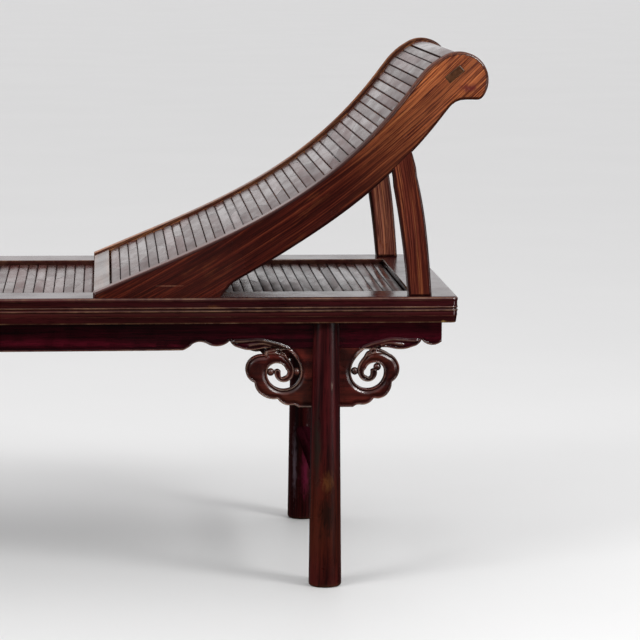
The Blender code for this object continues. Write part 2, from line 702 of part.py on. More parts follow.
def post(name, side, rail, plank, finish):
    """A curved post, tenoned into the long rail and into the underside of the plank."""
    meeting = post_meeting()
    outline = post_outline(meeting + 0.9 * POST_WIDTH)
    made = prism(name, outline, side * PLANK_INNER, side * PLANK_OUTER, finish, POST_ROUND)
    shadow = [(x + FIT, z - 2 * FIT) for x, z in plank_edge(TIP_ANGLE) + plank_underside()]
    cut(made, prism("shadow", shadow, -HALF_DEPTH, HALF_DEPTH))
    y = side * (PLANK_INNER + PLANK_OUTER) / 2
    size = (0.4 * POST_WIDTH, 0.4 * PLANK_THICKNESS, 2 * TENON_HEIGHT)
    for piece, z in ((rail, SEAT_HEIGHT), (plank, meeting)):
        centre = (post_middle(z), y, z)
        join(made, block("tenon", centre, size))
        cut(piece, block("mortise", centre, grown(size)))


SIDES = ((-1, "front"), (1, "back"))
ENDS = ((-1, "foot"), (1, "head"))


def bench(lacquer, slat_finish):
    """The recessed-leg bench with its seat."""
    long_rails, end_rails = seat_frame(lacquer)
    aprons = {side: apron(f"apron_{name}", side, lacquer) for side, name in SIDES}
    spandrels(lacquer)
    for end, end_name in ENDS:
        x = MID_X + end * LEG_REACH
        legs = [leg(f"leg_{n}_{end_name}", x, s, long_rails[s], lacquer) for s, n in SIDES]
        stretcher(f"stretcher_{end_name}", end, legs, lacquer)
        end_apron(f"apron_{end_name}_end", end, aprons, lacquer)
    supports = [end_rails[-1], *seat_battens(long_rails, lacquer), end_rails[1]]
    for i in range(SEAT_BAYS):
        seat_slats(i, supports[i : i + 2], slat_finish)
    return long_rails


def backrest(long_rails, rosewood, slat_finish):
    """The curved ramp on the head end of the bench."""
    path = ramp_path()
    planks = {side: side_plank(f"plank_{name}", side, path, rosewood) for side, name in SIDES}
    for side, name in SIDES:
        post(f"post_{name}", side, long_rails[side], planks[side], rosewood)
    rail, hole = head_rail(planks.values(), rosewood)
    begin, end = slat_range(path)
    battens = []
    for i in range(1, RAMP_SECTIONS):
        distance = begin + (end - begin) * i / RAMP_SECTIONS
        battens.append(ramp_batten(f"ramp_batten_{i}", path, distance, planks.values(), rosewood))
    for i in range(RAMP_SECTIONS):
        centre, size, lean = hole
        near = battens[max(i - 1, 0) : i + 1]
        ramp_slats(i, path, near, block("hole", centre, size, lean=lean), slat_finish)
    crest_board(path, slat_finish)
    foot_strip(path, rosewood)


def main():
    for old in list(bpy.data.objects):
        bpy.data.objects.remove(old)
    lacquer = material("dark_lacquer", (0.030, 0.006, 0.006), 0.30)
    rosewood = material("rosewood", (0.130, 0.032, 0.012), 0.28)
    slat_finish = material("slat_lacquer", (0.085, 0.035, 0.030), 0.32)
    long_rails = bench(lacquer, slat_finish)
    backrest(long_rails, rosewood, slat_finish)


main()
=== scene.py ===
"""Looks of the slatted lounge chair: moulded rails, carved boards, polished planks and split slats."""

import math
from functools import partial

import bmesh
import bpy
import numpy as np
from mathutils import Matrix, Vector
from mathutils.geometry import delaunay_2d_cdt
from mathutils.kdtree import KDTree


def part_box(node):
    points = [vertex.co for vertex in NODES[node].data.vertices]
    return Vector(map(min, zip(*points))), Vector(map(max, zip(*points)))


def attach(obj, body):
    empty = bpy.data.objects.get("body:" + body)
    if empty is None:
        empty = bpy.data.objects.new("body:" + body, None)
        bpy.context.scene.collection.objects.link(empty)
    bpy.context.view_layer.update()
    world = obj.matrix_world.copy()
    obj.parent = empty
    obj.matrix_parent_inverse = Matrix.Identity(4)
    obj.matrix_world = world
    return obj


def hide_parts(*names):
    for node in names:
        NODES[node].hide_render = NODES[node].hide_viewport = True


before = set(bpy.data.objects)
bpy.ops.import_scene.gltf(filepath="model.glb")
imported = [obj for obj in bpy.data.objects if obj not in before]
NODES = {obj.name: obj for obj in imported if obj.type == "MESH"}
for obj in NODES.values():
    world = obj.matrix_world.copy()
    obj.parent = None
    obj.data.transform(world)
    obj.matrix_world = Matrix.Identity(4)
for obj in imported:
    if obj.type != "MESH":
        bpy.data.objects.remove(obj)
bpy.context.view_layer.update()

# Camera, from the lines of the photograph
CAMERA_PLACE = (0.27353, -4.51716, 1.05440)
CAMERA_YAW = 0.07918  # to the right, radians
CAMERA_PITCH = 0.14495  # down
CAMERA_ROLL = 0.00558
CAMERA_LENS = 153.18  # mm
CAMERA_SENSOR = 36  # mm

# Sizes, in metres
ARRIS = 0.0008  # rounding of plain edges
SHARP = math.radians(38)  # edges that turn more than this are rounded
RAIL_CORNER = 0.010  # rounding of the seat frame's outer corners
RAIL_GROWTH = 0.0020  # how much further the head end reaches
RAIL_ROUND = 0.0046  # radius of a rail's upper edge
RAIL_BEAD = 0.0019  # radius of the two beads along a rail
RAIL_BEADS = (-0.0166, -0.0218)  # heights of their middles under the top
MITRE_SEAM = 0.00012
LEG_GROWTH = 0.035  # share by which a leg is thicker than its solid
LEG_SIDES = 48
LEG_CUTS = (0.02, 0.26)  # heights of the two sections that give a leg's size and lean
LEG_RIM = (  # height, inset and wear at a leg's foot
    (0.0, 0.0035, 0.1), (0.0006, 0.0017, 0.3), (0.0020, 0.0005, 0.3), (0.0040, 0.0, 0.1), (0.0070, 0.0, 0.0)
)
LEG_WORN_BELOW = 0.20
TENON_GROWTH = 1.17  # size of a through tenon against its solid
PLANK_ROUND = 0.0044
PLANK_FILL = 0.0020  # how much fuller a plank's underside is
HEAD_FILL = 0.0018  # and its scrolled head
POST_ROUND = 0.0036
POST_LEAN = 0.0020  # how far a post's upper end leans over
POST_BOW = 0.0036  # how much fuller a post is on its outer side
FOOT_SINK = 0.006  # how far planks and posts go down into the seat rails
POST_SINK = 0.008  # how far posts go up into the planks
SLAT_THICKNESS = 0.0058
SLAT_ROUND = 0.0018
SLAT_TIP = 0.0075  # length of a slat's rounded end
SLAT_WOBBLE = 0.0004
SLAT_GAP = 0.0006
STEM_LENGTH = 0.25  # from joint to joint of a split stem
BOARD_SETBACK = 0.0020  # how far the flat faces of aprons and spandrels lie behind their beads
FLOOR_SIZE = 60

BEAD = 2.6  # width of a carved bead, in millimetres

# Carving, in millimetres from a leg's axis and from the joint between apron and spandrel
SCROLL_MIDDLE = (67.3, -40.0)
SLOT_REACH = 26.4  # radius of the slot's outer edge
TONGUE_REACH = 14.8  # radius of the tongue that curls into the scroll
EYE_REACH = 6.4
BALL_RADIUS = 6.2
BALLS = {  # angle and radius in the slot
    "inner": ((176, 20.8), (3, 20.7)),
    "outer": ((175, 20.8), (29, 17.4)),
}
LOBE_GROWTH = {"inner": 5.6, "outer": -4.6}  # how much longer the outermost lobe is on each side of a leg
NOTCH = {  # where the neck is cut in under the leaf, from the lobe up to the joint
    "inner": [(97.4, -10.2), (97.9, -5.1), (89.2, -1.5), (92.1, 0.0)],
    "outer": [(101.1, -10.0), (97.0, -7.4), (93.1, -5.4), (89.6, -3.9), (86.2, -2.8), (89.4, 0.0)],
}
NECK_END = {"inner": -9.6, "outer": -2.9}  # height over which the neck's outline carries no bead
LEAF_START = 88.0  # where the apron's own bead begins
LEAF_STEM = [
    (150, 10.8), (132, 11.3), (109, 13), (100, 12.4), (87, 9.1), (73, 5.2), (62, 0.8), (54.5, -5),
    (49.5, -11), (46.4, -16.6), (43.8, -22),
]
LEAF_VEIN = [(122, 4.5), (107, 7.5), (99, 7.8), (90, 5.4), (84, 2.9), (78, 0.6), (72, -1.4)]
STRAP = [(96, -6.2), (90, -4.8), (84, -3.2), (77, -2.4), (71, -3.4)]
ARM_TOP = [(98, -9.6), (89, -8.1), (80, -7.6), (72, -9.4), (65.5, -13.4), (61, -19)]
NECK = [(101, -2.6), (93, -1.0), (85, 0.4), (78, 1.0)]
# Each ridge has its path, half width and height. The neck is a groove.
RIDGES = (
    (LEAF_STEM, 2.0, 1.9), (LEAF_VEIN, 2.4, 1.0), (STRAP, 1.7, 1.0), (ARM_TOP, 1.5, 1.1), (NECK, 1.7, -2.6)
)

# Lacquers: their dark, red and brown tones, and the wood where they are worn through. On the scrolls this
# worn tone is pale, partly as a painted highlight on the lower rims of the beads.
RAIL_LACQUER = (0.021, 0.0024, 0.0034), (0.060, 0.0064, 0.0090), (0.078, 0.019, 0.010), (0.30, 0.155, 0.080)
LEG_LACQUER = (0.013, 0.0016, 0.0024), (0.090, 0.0096, 0.0110), (0.080, 0.0155, 0.0056), (0.30, 0.155, 0.080)
CROSS_LACQUER = (0.016, 0.0020, 0.0040), (0.060, 0.0075, 0.0140), (0.050, 0.010, 0.008), (0.16, 0.09, 0.07)
APRON_LACQUER = (0.018, 0.0010, 0.0026), (0.104, 0.0054, 0.0145), (0.060, 0.008, 0.008), (0.34, 0.19, 0.12)
SCROLL_LACQUER = (0.032, 0.0048, 0.0045), (0.128, 0.0185, 0.0130), (0.140, 0.033, 0.0155), (0.56, 0.40, 0.30)
BATTEN_LACQUER = (0.050, 0.019, 0.009), (0.150, 0.060, 0.027), (0.18, 0.080, 0.036), (0.20, 0.12, 0.07)

# Rosewood: the angle and bend of its grain, and the tones from its dull end to its glowing end
PLANK_GRAIN = math.radians(36), 0.24
POST_GRAIN = math.radians(97), 0.30
FRONT_PLANK_TONES = 0.0, 1.05
# The back plank's tones are brighter than the front plank's: painted light, as if its inner face were lit.
BACK_PLANK_PAINTED_LIGHT_TONES = 0.95, 0.60, (0.62, 0.27, 0.105)
# The back post's tones are brighter than the front post's: painted light where the ramp shades it.
POST_TONES_WITH_PAINTED_LIGHT = {"front": (0.34, 0.42, (0.50, 0.115, 0.060)), "back": (0.80, 0.80, (0.58, 0.20, 0.115))}

# Marks of wear and repair, and on the legs two painted reflections: middle, reach and colour
RAIL_MARKS = (
    ((0.4386, -0.280, 0.4548), (0.018, 0.010, 0.0050), (0.105, 0.034, 0.012)),
    ((0.8062, -0.277, 0.4300), (0.006, 0.010, 0.0030), (0.72, 0.46, 0.14)),
    ((0.6028, 0.2358, 0.470), (0.006, 0.007, 0.004), (0.010, 0.005, 0.005)),
    ((0.6418, 0.2345, 0.470), (0.005, 0.006, 0.004), (0.010, 0.005, 0.005)),
)
LEG_MARKS = (
    # Painted reflection: a dark olive strip down the front leg's left side
    ((0.6067, -0.272, 0.2290), (0.0095, 0.04, 0.095), (0.020, 0.016, 0.011)),
    ((0.6250, -0.276, 0.1708), (0.0140, 0.04, 0.024), (0.160, 0.056, 0.018)),
    ((0.6225, -0.277, 0.1180), (0.0190, 0.04, 0.056), (0.006, 0.004, 0.003)),
    ((0.6306, -0.256, 0.3262), (0.0026, 0.03, 0.0110), (0.34, 0.24, 0.19)),
    ((0.6242, 0.232, 0.0880), (0.0120, 0.03, 0.0680), (0.20, 0.016, 0.052)),
    # Painted sheen: a pale lilac streak down the back leg's left side
    ((0.6063, 0.232, 0.1039), (0.0052, 0.03, 0.0880), (0.27, 0.20, 0.24)),
    ((0.6284, 0.232, 0.1526), (0.0060, 0.03, 0.0240), (0.46, 0.36, 0.38)),
)
PLANK_MARKS = (
    ((0.8429, -0.275, 0.7991), (0.022, 0.02, 0.0095), (0.13, 0.020, 0.020)),
    ((0.3705, -0.275, 0.4886), (0.032, 0.02, 0.0012), (0.24, 0.10, 0.06)),
)

# Soft boxes: place, target, size, power and roll
LAMPS = {
    "key": ((-2.6, -2.4, 2.6), (0.3, 0, 0.4), (1.6, 1.0), 70, 0.0),
    "left": ((-3.2, -2.0, 0.7), (0.4, -0.2, 0.35), (1.0, 0.8), 13, 0.0),
    "right": ((2.6, -1.6, 2.2), (0.7, -0.2, 0.7), (0.8, 0.8), 33, 0.0),
    "rim": ((2.2, -2.2, 2.3), (0.8, -0.26, 0.8), (1.5, 0.2), 100, -0.8),
    "low_right": ((3.0, -2.0, 0.5), (0.6, -0.2, 0.3), (0.8, 0.8), 17, 0.0),
}


class Field:
    """A socket in a node tree. Arithmetic on it adds Math nodes."""

    def __init__(self, tree, socket):
        self.tree = tree
        self.socket = socket

    def math(self, operation, *values):
        return self.tree.add("ShaderNodeMath", {"operation": operation}, dict(enumerate(values)))

    def __add__(self, other):
        return self.math("ADD", self, other)

    def __sub__(self, other):
        return self.math("SUBTRACT", self, other)

    def __rsub__(self, other):
        return self.math("SUBTRACT", other, self)

    def __mul__(self, other):
        return self.math("MULTIPLY", self, other)

    def __truediv__(self, other):
        return self.math("DIVIDE", self, other)

    def __pow__(self, other):
        return self.math("POWER", self, other)

    def __abs__(self):
        return self.math("ABSOLUTE", self)

    __radd__ = __add__
    __rmul__ = __mul__

    def most(self, other):
        return self.math("MAXIMUM", self, other)

    def least(self, other):
        return self.math("MINIMUM", self, other)

    def band(self, low, high, start=0.0, end=1.0):
        """Goes smoothly from start to end while the value goes from low to high."""
        values = {"Value": self, "From Min": low, "From Max": high, "To Min": start, "To Max": end}
        return self.tree.add("ShaderNodeMapRange", {"interpolation_type": "SMOOTHSTEP"}, values)


class Tree:
    """A node tree that is written as expressions."""

    def __init__(self, nodes):
        self.nodes = nodes

    def add(self, kind, settings=None, values=None, output=0):
        """Adds a node: its settings first, then the values or links of its sockets."""
        node = self.nodes.nodes.new(kind)
        for name, value in (settings or {}).items():
            setattr(node, name, value)
        for name, value in (values or {}).items():
            if isinstance(value, Field):
                self.nodes.links.new(value.socket, node.inputs[name])
            else:
                node.inputs[name].default_value = value
        return Field(self, node.outputs[output])

    def parts(self, vector):
        node = self.add("ShaderNodeSeparateXYZ", values={0: vector}).socket.node
        return [Field(self, socket) for socket in node.outputs]


class Finish(Tree):
    """A procedural material around one Principled shader."""

    def __init__(self, name, **constants):
        self.material = bpy.data.materials.new(name)
        self.material.use_nodes = True
        super().__init__(self.material.node_tree)
        self.shader = self.nodes.nodes["Principled BSDF"]
        for socket, value in constants.items():
            self.shader.inputs[socket.replace("_", " ").title().replace("Ior", "IOR")].default_value = value

    def place(self):
        return self.add("ShaderNodeTexCoord", output="Object")

    def scaled(self, vector, scale):
        return self.add("ShaderNodeVectorMath", {"operation": "MULTIPLY"}, {0: vector, 1: scale})

    def moved(self, vector, other):
        return self.add("ShaderNodeVectorMath", {"operation": "ADD"}, {0: vector, 1: other})

    def vector(self, x, y, z):
        return self.add("ShaderNodeCombineXYZ", values={0: x, 1: y, 2: z})

    def noise(self, vector, scale=1.0, detail=3.0, roughness=0.55):
        values = {"Vector": vector, "Scale": scale, "Detail": detail, "Roughness": roughness}
        return self.add("ShaderNodeTexNoise", values=values)

    def attribute(self, name):
        return self.add("ShaderNodeAttribute", {"attribute_name": name}, output="Fac")

    def mix(self, share, first, second):
        """A colour between two colours."""
        node = self.add("ShaderNodeMix", {"data_type": "RGBA"}, {"Factor": share}).socket.node
        for socket, colour in ((node.inputs[6], first), (node.inputs[7], second)):
            if isinstance(colour, Field):
                self.nodes.links.new(colour.socket, socket)
            else:
                socket.default_value = (*colour, 1)
        return Field(self, node.outputs[2])

    def stain(self, spot, middle, reach):
        """One in the middle of a mark with ragged edges, and nought outside its reach."""
        away = self.scaled(self.moved(spot, [-v for v in middle]), [1 / v for v in reach])
        away = self.add("ShaderNodeVectorMath", {"operation": "LENGTH"}, {0: away}, output="Value")
        ragged = self.noise(self.scaled(spot, (260, 260, 90)), 1.0, 3.0, 0.6)
        return (away + ragged * 1.3).band(0.7, 1.6, 0.85, 0.0)

    def bump(self, height, distance, strength=1.0):
        values = {"Height": height, "Distance": distance, "Strength": strength}
        return self.add("ShaderNodeBump", values=values)

    def done(self, **fields):
        for socket, field in fields.items():
            name = socket.replace("_", " ").title()
            self.nodes.links.new(field.socket, self.shader.inputs[name])
        return self.material


def lacquer(
    name, along, dark, red, brown, worn, shine=0.35, gloss=(0.12, 0.26), cloud=0.0, marks=(), low=None
):
    """Old dark lacquer over wood. The grain runs along one axis, and the arrises are worn through. On carved
    boards the lower rims are partly a painted highlight, and the hollows are painted darker as painted shade.

    gloss is the range of roughness and cloud the share of darker patches. marks are stains, and on the legs
    also painted reflections, each with its middle, reach and colour. Towards the height low and below it the
    lacquer is worn browner, most in front.
    """
    finish = Finish(name, specular_ior_level=shine)
    board = finish.attribute("board")
    spot = finish.place()
    place = finish.moved(spot, finish.vector(board * 3.1, board * 1.7, board * 2.3))
    long = [90.0, 90.0, 90.0]
    long[along] = 3.0
    streaks = finish.noise(finish.scaled(place, long), 1.0, 5.0, 0.6)
    long[along] = 1.2
    broad = finish.noise(finish.scaled(place, [v * 0.16 for v in long]), 1.0, 3.0)
    tight = [v * 7 if i != along else 40.0 for i, v in enumerate(long)]
    pores = finish.noise(finish.scaled(place, tight), 1.0, 2.0)
    patches = finish.noise(place, 9.0, 4.0, 0.6)
    chips = finish.noise(place, 45.0, 4.0, 0.65)
    arris, hollow = finish.attribute("arris"), finish.attribute("hollow")
    rub = arris * chips.band(0.34, 0.66, 0.25, 1.0) * patches.band(0.30, 0.62, 0.35, 1.0)
    colour = finish.mix(streaks.band(0.35, 0.72), dark, red)
    bare = broad.band(0.45, 0.75) * 0.55
    if low:
        _, y, z = finish.parts(spot)
        foot = z.band(low - 0.10, low + 0.06, 0.75, 0.0) * z.band(0.0, 0.09, 0.35, 1.0)
        foot = foot * y.band(-0.1, 0.1, 1.0, 0.3)
        bare = bare.most(foot * streaks.band(0.32, 0.60, 0.25, 1.0))
    colour = finish.mix(bare, colour, brown)
    colour = finish.mix(pores.band(0.54, 0.70) * 0.6, colour, [v * 0.35 for v in dark])
    if cloud:
        dim = finish.noise(place, 34.0, 3.0, 0.5).band(0.46, 0.68)
        colour = finish.mix(dim * cloud, colour, [v * 0.45 for v in dark])
    for middle, reach, tint in marks:
        share = finish.stain(spot, middle, reach) * streaks.band(0.35, 0.55, 0.45, 1.0)
        colour = finish.mix(share, colour, tint)
    # Painted shade: darker in the carved hollows.
    colour = finish.mix(hollow * 0.7, colour, [v * 0.45 for v in dark])
    colour = finish.mix(rub, colour, worn)
    gloss = patches.band(0.3, 0.7, *gloss) + rub * 0.1
    grain = streaks * 0.5 + pores * 0.35 + patches * 0.6
    return finish.done(base_color=colour, roughness=gloss, normal=finish.bump(grain, 0.0006, 0.25))


def rosewood(
    name, middle, turn, bend, dull, glow, bright=(0.93, 0.270, 0.090), shine=0.25, edge=0.7, marks=()
):
    """Polished wood with fine dark streaks. The grain lies at an angle in X and Z and bends with the piece.

    The tone goes from dull to glow along the grain, which is how near it comes to the colour bright. edge is
    how dark the narrow sides are, and how strong the painted sheen on their upward faces near the foot is.
    marks are stains, each with its middle, reach and colour.
    """
    finish = Finish(name, specular_ior_level=shine)
    spot = finish.place()
    x, y, z = finish.parts(spot)
    x, z = x - middle[0], z - middle[1]
    length = x * math.cos(turn) + z * math.sin(turn)
    across = z * math.cos(turn) - x * math.sin(turn) - bend * length * length
    board = finish.attribute("board")
    warp = finish.noise(finish.vector(length * 4, y * 6 + board, across * 14), 1.0, 2.0)
    line = across + warp * 0.007
    bands = finish.noise(finish.vector(length * 1.6 + board * 7, y * 170, line * 170), 1.0, 4.0, 0.6)
    lines = finish.noise(finish.vector(length * 4.5, y * 430 + board * 5, line * 430), 1.0, 4.0, 0.65)
    fine = finish.noise(finish.vector(length * 14, y * 640, line * 640), 1.0, 3.0, 0.6)
    pores = finish.noise(finish.vector(length * 60, y * 1900, line * 1900), 1.0, 2.0)
    broad = finish.noise(finish.vector(length * 5, y * 8 + board * 3, across * 11), 1.0, 3.0)
    scuffs = finish.noise(spot, 60.0, 4.0, 0.65)
    arris = finish.attribute("arris")
    facing = finish.parts(finish.add("ShaderNodeNewGeometry", output="Normal"))
    rim = abs(facing[1]).band(0.3, 0.8, 1.0, 0.0)
    # Painted sheen: upward-facing narrow sides near the foot are painted pale, as a painted reflection.
    wear_and_painted_sheen = rim * facing[2].band(0.2, 0.6) * length.band(-0.05, 0.17, edge, 0.0)
    lift = length.band(0.02, 0.36, dull, glow) * across.band(-0.05, 0.015, 0.58, 1.15)
    dark, body = (0.020, 0.0028, 0.0022), (0.084, 0.0122, 0.0068)
    rust, shade, pore = (0.170, 0.042, 0.016), (0.026, 0.0040, 0.0040), (0.012, 0.0025, 0.0020)
    dark_rim, painted_sheen_colour = (0.022, 0.0050, 0.0045), (0.150, 0.062, 0.050)
    mottle = finish.noise(finish.vector(length * 16, y * 60 + board * 9, line * 75), 1.0, 4.0, 0.65)
    colour = finish.mix(bands.band(0.26, 0.56, 0.25, 1.0), dark, body)
    colour = finish.mix(mottle.band(0.52, 0.70) * 0.55, colour, rust)
    colour = finish.mix(mottle.band(0.46, 0.30) * 0.55, colour, shade)
    warm = lift * bands.band(0.28, 0.62, 0.50, 1.0) * broad.band(0.28, 0.62, 0.50, 1.0)
    colour = finish.mix(warm, colour, bright)
    gold = finish.mix(lift, (0.22, 0.044, 0.018), (1.0, 0.39, 0.125))
    colour = finish.mix(lines.band(0.32, 0.46, 0.60, 0.0), colour, gold)
    vein = finish.mix(lift, (0.012, 0.0022, 0.0020), (0.095, 0.0140, 0.0110))
    colour = finish.mix(lines.band(0.48, 0.57) * lift.band(0.0, 0.6, 0.60, 0.85), colour, vein)
    colour = finish.mix(fine.band(0.49, 0.61) * lift.band(0.0, 0.6, 0.50, 0.85), colour, vein)
    colour = finish.mix(pores.band(0.58, 0.72) * 0.5, colour, pore)
    for place, reach, tint in marks:
        colour = finish.mix(finish.stain(spot, place, reach), colour, tint)
    colour = finish.mix((arris * 0.75).most(rim * edge), colour, dark_rim)
    # Painted reflection: the pale sheen on the upper narrow sides near the foot.
    colour = finish.mix(wear_and_painted_sheen, colour, painted_sheen_colour)
    gloss = broad.band(0.3, 0.7, 0.17, 0.28) + scuffs * 0.08
    gloss = gloss + arris * (rim * 0.6 - 0.10) + rim * length.band(-0.05, 0.20, 0.05, 0.5)
    height = bands * 0.3 + lines * 0.5 + pores * 0.5
    return finish.done(base_color=colour, roughness=gloss, normal=finish.bump(height, 0.0004, 0.3))


def strip_lacquer(name):
    """Split strips under worn brown lacquer. Tone and tilt change at each joint across a stem."""
    finish = Finish(name, specular_ior_level=0.29)
    strip, across = finish.attribute("strip"), finish.attribute("across")
    x, y, z = finish.parts(finish.place())
    stem = y / STEM_LENGTH + finish.noise(finish.vector(x * 9, 0, 0), 1.0, 1.0) * 4 + strip * 0.5
    joint = stem.math("FLOOR", stem)
    part = stem - joint

    def chance(first, second):
        values = {"Vector": finish.vector(first, second, 0)}
        return finish.add("ShaderNodeTexWhiteNoise", {"noise_dimensions": "2D"}, values)

    tone = chance(joint * 1.7, strip * 91)
    tilt = chance(strip * 57, joint * 2.3)
    mark = part.least(1 - part).band(0.0, 0.024, 1.0, 0.0)
    fibre = finish.noise(finish.vector(x * 500, y * 9, z * 500), 1.0, 4.0, 0.6)
    cloud = finish.noise(finish.vector(x * 40 + strip * 40, y * 14, z * 40), 1.0, 4.0, 0.6)
    stain = finish.noise(finish.vector(x * 22 + strip * 13, y * 7, z * 22), 1.0, 3.0)
    edge = abs(across).band(0.88, 1.0)
    # Painted shade: the strips are darker and duller towards their near ends, at the front.
    near = y.band(-0.25, 0.10, 1.0, 0.0)
    pale, brown, red = (0.105, 0.068, 0.062), (0.060, 0.027, 0.024), (0.070, 0.018, 0.014)
    tan, dull = (0.120, 0.046, 0.040), (0.072, 0.034, 0.032)
    bark, dirt_and_painted_shade = (0.04, 0.018, 0.015), (0.014, 0.006, 0.005)
    colour = finish.mix(tone.band(0.15, 0.85), pale, brown)
    colour = finish.mix(tilt.band(0.55, 0.75) * 0.8, colour, tan)
    colour = finish.mix(near * 0.55, colour, dull)
    colour = finish.mix(stain.band(0.48, 0.66) * 0.75, colour, red)
    colour = finish.mix(fibre.band(0.52, 0.75) * 0.45, colour, bark)
    # Dark joints across each stem are dirt; the darkening along each strip's long edges is painted shade in
    # the gaps.
    colour = finish.mix((mark * 0.8).most(edge * 0.6), colour, dirt_and_painted_shade)
    gloss = tone.band(0.0, 1.0, 0.12, 0.26) + cloud.band(0.3, 0.7, -0.04, 0.10) + edge * 0.1 + near * 0.16
    height = fibre * 0.35 + cloud * 0.8 + mark * 0.8 - across * across * 1.3
    height = height + (tilt - 0.5) * across * 1.6 + (tone - 0.5) * part * 16
    return finish.done(base_color=colour, roughness=gloss, normal=finish.bump(height, 0.0006, 0.5))


def floor_paint():
    finish = Finish("floor_paint", roughness=0.55)
    tone = finish.noise(finish.place(), 1.5, 3.0)
    return finish.done(base_color=finish.mix(tone, (0.74, 0.74, 0.735), (0.78, 0.78, 0.775)))


def made(name, bm, finish, nodes, board):
    """A finished piece that stands for CAD nodes: smooth, at the origin, riding on the one body."""
    mesh = bpy.data.meshes.new(name)
    for face in bm.faces:
        face.smooth = True
    bm.to_mesh(mesh)
    bm.free()
    mesh.materials.append(finish)
    tag = mesh.attributes.new("board", "FLOAT", "FACE")
    tag.data.foreach_set("value", [board] * len(mesh.polygons))
    piece = bpy.data.objects.new(name, mesh)
    bpy.context.scene.collection.objects.link(piece)
    modifier = piece.modifiers.new("even", "WEIGHTED_NORMAL")
    modifier.weight = 80
    modifier.keep_sharp = True
    baked(piece)
    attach(piece, "root")
    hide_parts(*nodes)
    return piece


def baked(piece):
    """Turns what the modifiers make into the piece's own mesh."""
    graph = bpy.context.evaluated_depsgraph_get()
    mesh = bpy.data.meshes.new_from_object(piece.evaluated_get(graph))
    piece.modifiers.clear()
    piece.data = mesh


def merged(node):
    """A closed copy of a CAD node with flat faces joined up."""
    bm = bmesh.new()
    bm.from_mesh(NODES[node].data)
    bmesh.ops.remove_doubles(bm, verts=bm.verts, dist=1e-6)
    bmesh.ops.dissolve_limit(bm, angle_limit=math.radians(0.5), verts=bm.verts, edges=bm.edges)
    return bm


def mark_arrises(bm, faces):
    """Marks rounded edges for the finish, which rubs them through."""
    bm.faces.index_update()
    marked = {face.index for face in faces if face.is_valid}
    arris = bm.faces.layers.float.new("arris")
    for face in bm.faces:
        face[arris] = face.index in marked


def softened(node, finish, board):
    """A copy of a CAD node whose sharp edges are rounded and marked as arrises."""
    bm = merged(node)
    sharp = [e for e in bm.edges if e.is_manifold and e.calc_face_angle() > SHARP]
    result = bmesh.ops.bevel(
        bm, geom=sharp, offset=ARRIS, segments=2, profile=0.5, affect="EDGES", clamp_overlap=True
    )
    mark_arrises(bm, result["faces"])
    return made(f"{node}_finished", bm, finish, [node], board)


def plane_cut(node, axis, place):
    """A closed copy of a CAD node, and the points and edges where a plane across one axis cuts it."""
    bm = merged(node)
    spot, normal = Vector((0, 0, 0)), Vector((0, 0, 0))
    spot[axis], normal[axis] = place, 1
    geom = bm.verts[:] + bm.edges[:] + bm.faces[:]
    cut = bmesh.ops.bisect_plane(bm, geom=geom, plane_co=spot, plane_no=normal, dist=1e-7)
    return bm, cut["geom_cut"]


def turned_leg(node, finish, board):
    """A round leaning leg, from the CAD node's sections below the fork, with a worn rim at the foot."""
    found = []
    for height in LEG_CUTS:
        bm, cut = plane_cut(node, 2, height)
        ring = np.array([v.co for v in cut if isinstance(v, bmesh.types.BMVert)])
        low, high = ring.min(0), ring.max(0)
        found.append([height, *(low + high)[:2] / 2, (high - low)[:2].max() / 2 * (1 + LEG_GROWTH)])
        bm.free()
    foot, upper = np.array(found)
    bm = bmesh.new()
    arris = bm.verts.layers.float.new("arris")
    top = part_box("rail_front")[0].z + 0.002
    rings = []
    for height, inset, wear in [*LEG_RIM, *((z, 0.0, 0.0) for z in np.linspace(LEG_CUTS[0], top, 16))]:
        _, x, y, radius = foot + (upper - foot) * (height - foot[0]) / (upper[0] - foot[0])
        reach = radius - inset
        ring = []
        for k in range(LEG_SIDES):
            turn = math.tau * k / LEG_SIDES
            vert = bm.verts.new((x + reach * math.cos(turn), y + reach * math.sin(turn), height))
            vert[arris] = wear
            ring.append(vert)
        rings.append(ring)
    for first, second in zip(rings, rings[1:]):
        for k in range(LEG_SIDES):
            bm.faces.new((first[k - 1], first[k], second[k], second[k - 1]))
    for ring in (rings[0], rings[-1]):
        for edge in bm.faces.new(ring).edges:
            edge.smooth = False
    bmesh.ops.recalc_face_normals(bm, faces=bm.faces)
    return made(f"{node}_finished", bm, finish, [node], board)


def section(node, y):
    """Closed outlines, in X and Z, where a plane across Y cuts a CAD node. The longest comes first."""
    bm, cut = plane_cut(node, 1, y)
    left = dict.fromkeys(e for e in cut if isinstance(e, bmesh.types.BMEdge))
    loops = []
    while left:
        start, at = left.popitem()[0].verts
        loop = [start]
        while at is not start:
            loop.append(at)
            edge = next(e for e in at.link_edges if e in left)
            del left[edge]
            at = edge.other_vert(at)
        loops.append([(v.co.x, v.co.z) for v in loop])
    bm.free()
    loops = [simplified(loop) for loop in loops]
    return sorted(loops, key=lambda loop: -outline_length(loop))


def outline_length(loop):
    return sum(math.dist(a, b) for a, b in zip(loop, loop[1:] + loop[:1]))


def turning(before, at, after):
    """How far an outline turns at a point, in radians."""
    first = math.atan2(at[1] - before[1], at[0] - before[0])
    second = math.atan2(after[1] - at[1], after[0] - at[0])
    return (second - first + math.pi) % math.tau - math.pi


def simplified(loop):
    """The loop without points that lie on straight stretches, turning anticlockwise."""
    count = len(loop)
    kept = [p for i, p in enumerate(loop) if abs(turning(loop[i - 1], p, loop[(i + 1) % count])) > 0.002]
    area = sum(a[0] * b[1] - a[1] * b[0] for a, b in zip(kept, kept[1:] + kept[:1]))
    return kept if area > 0 else kept[::-1]


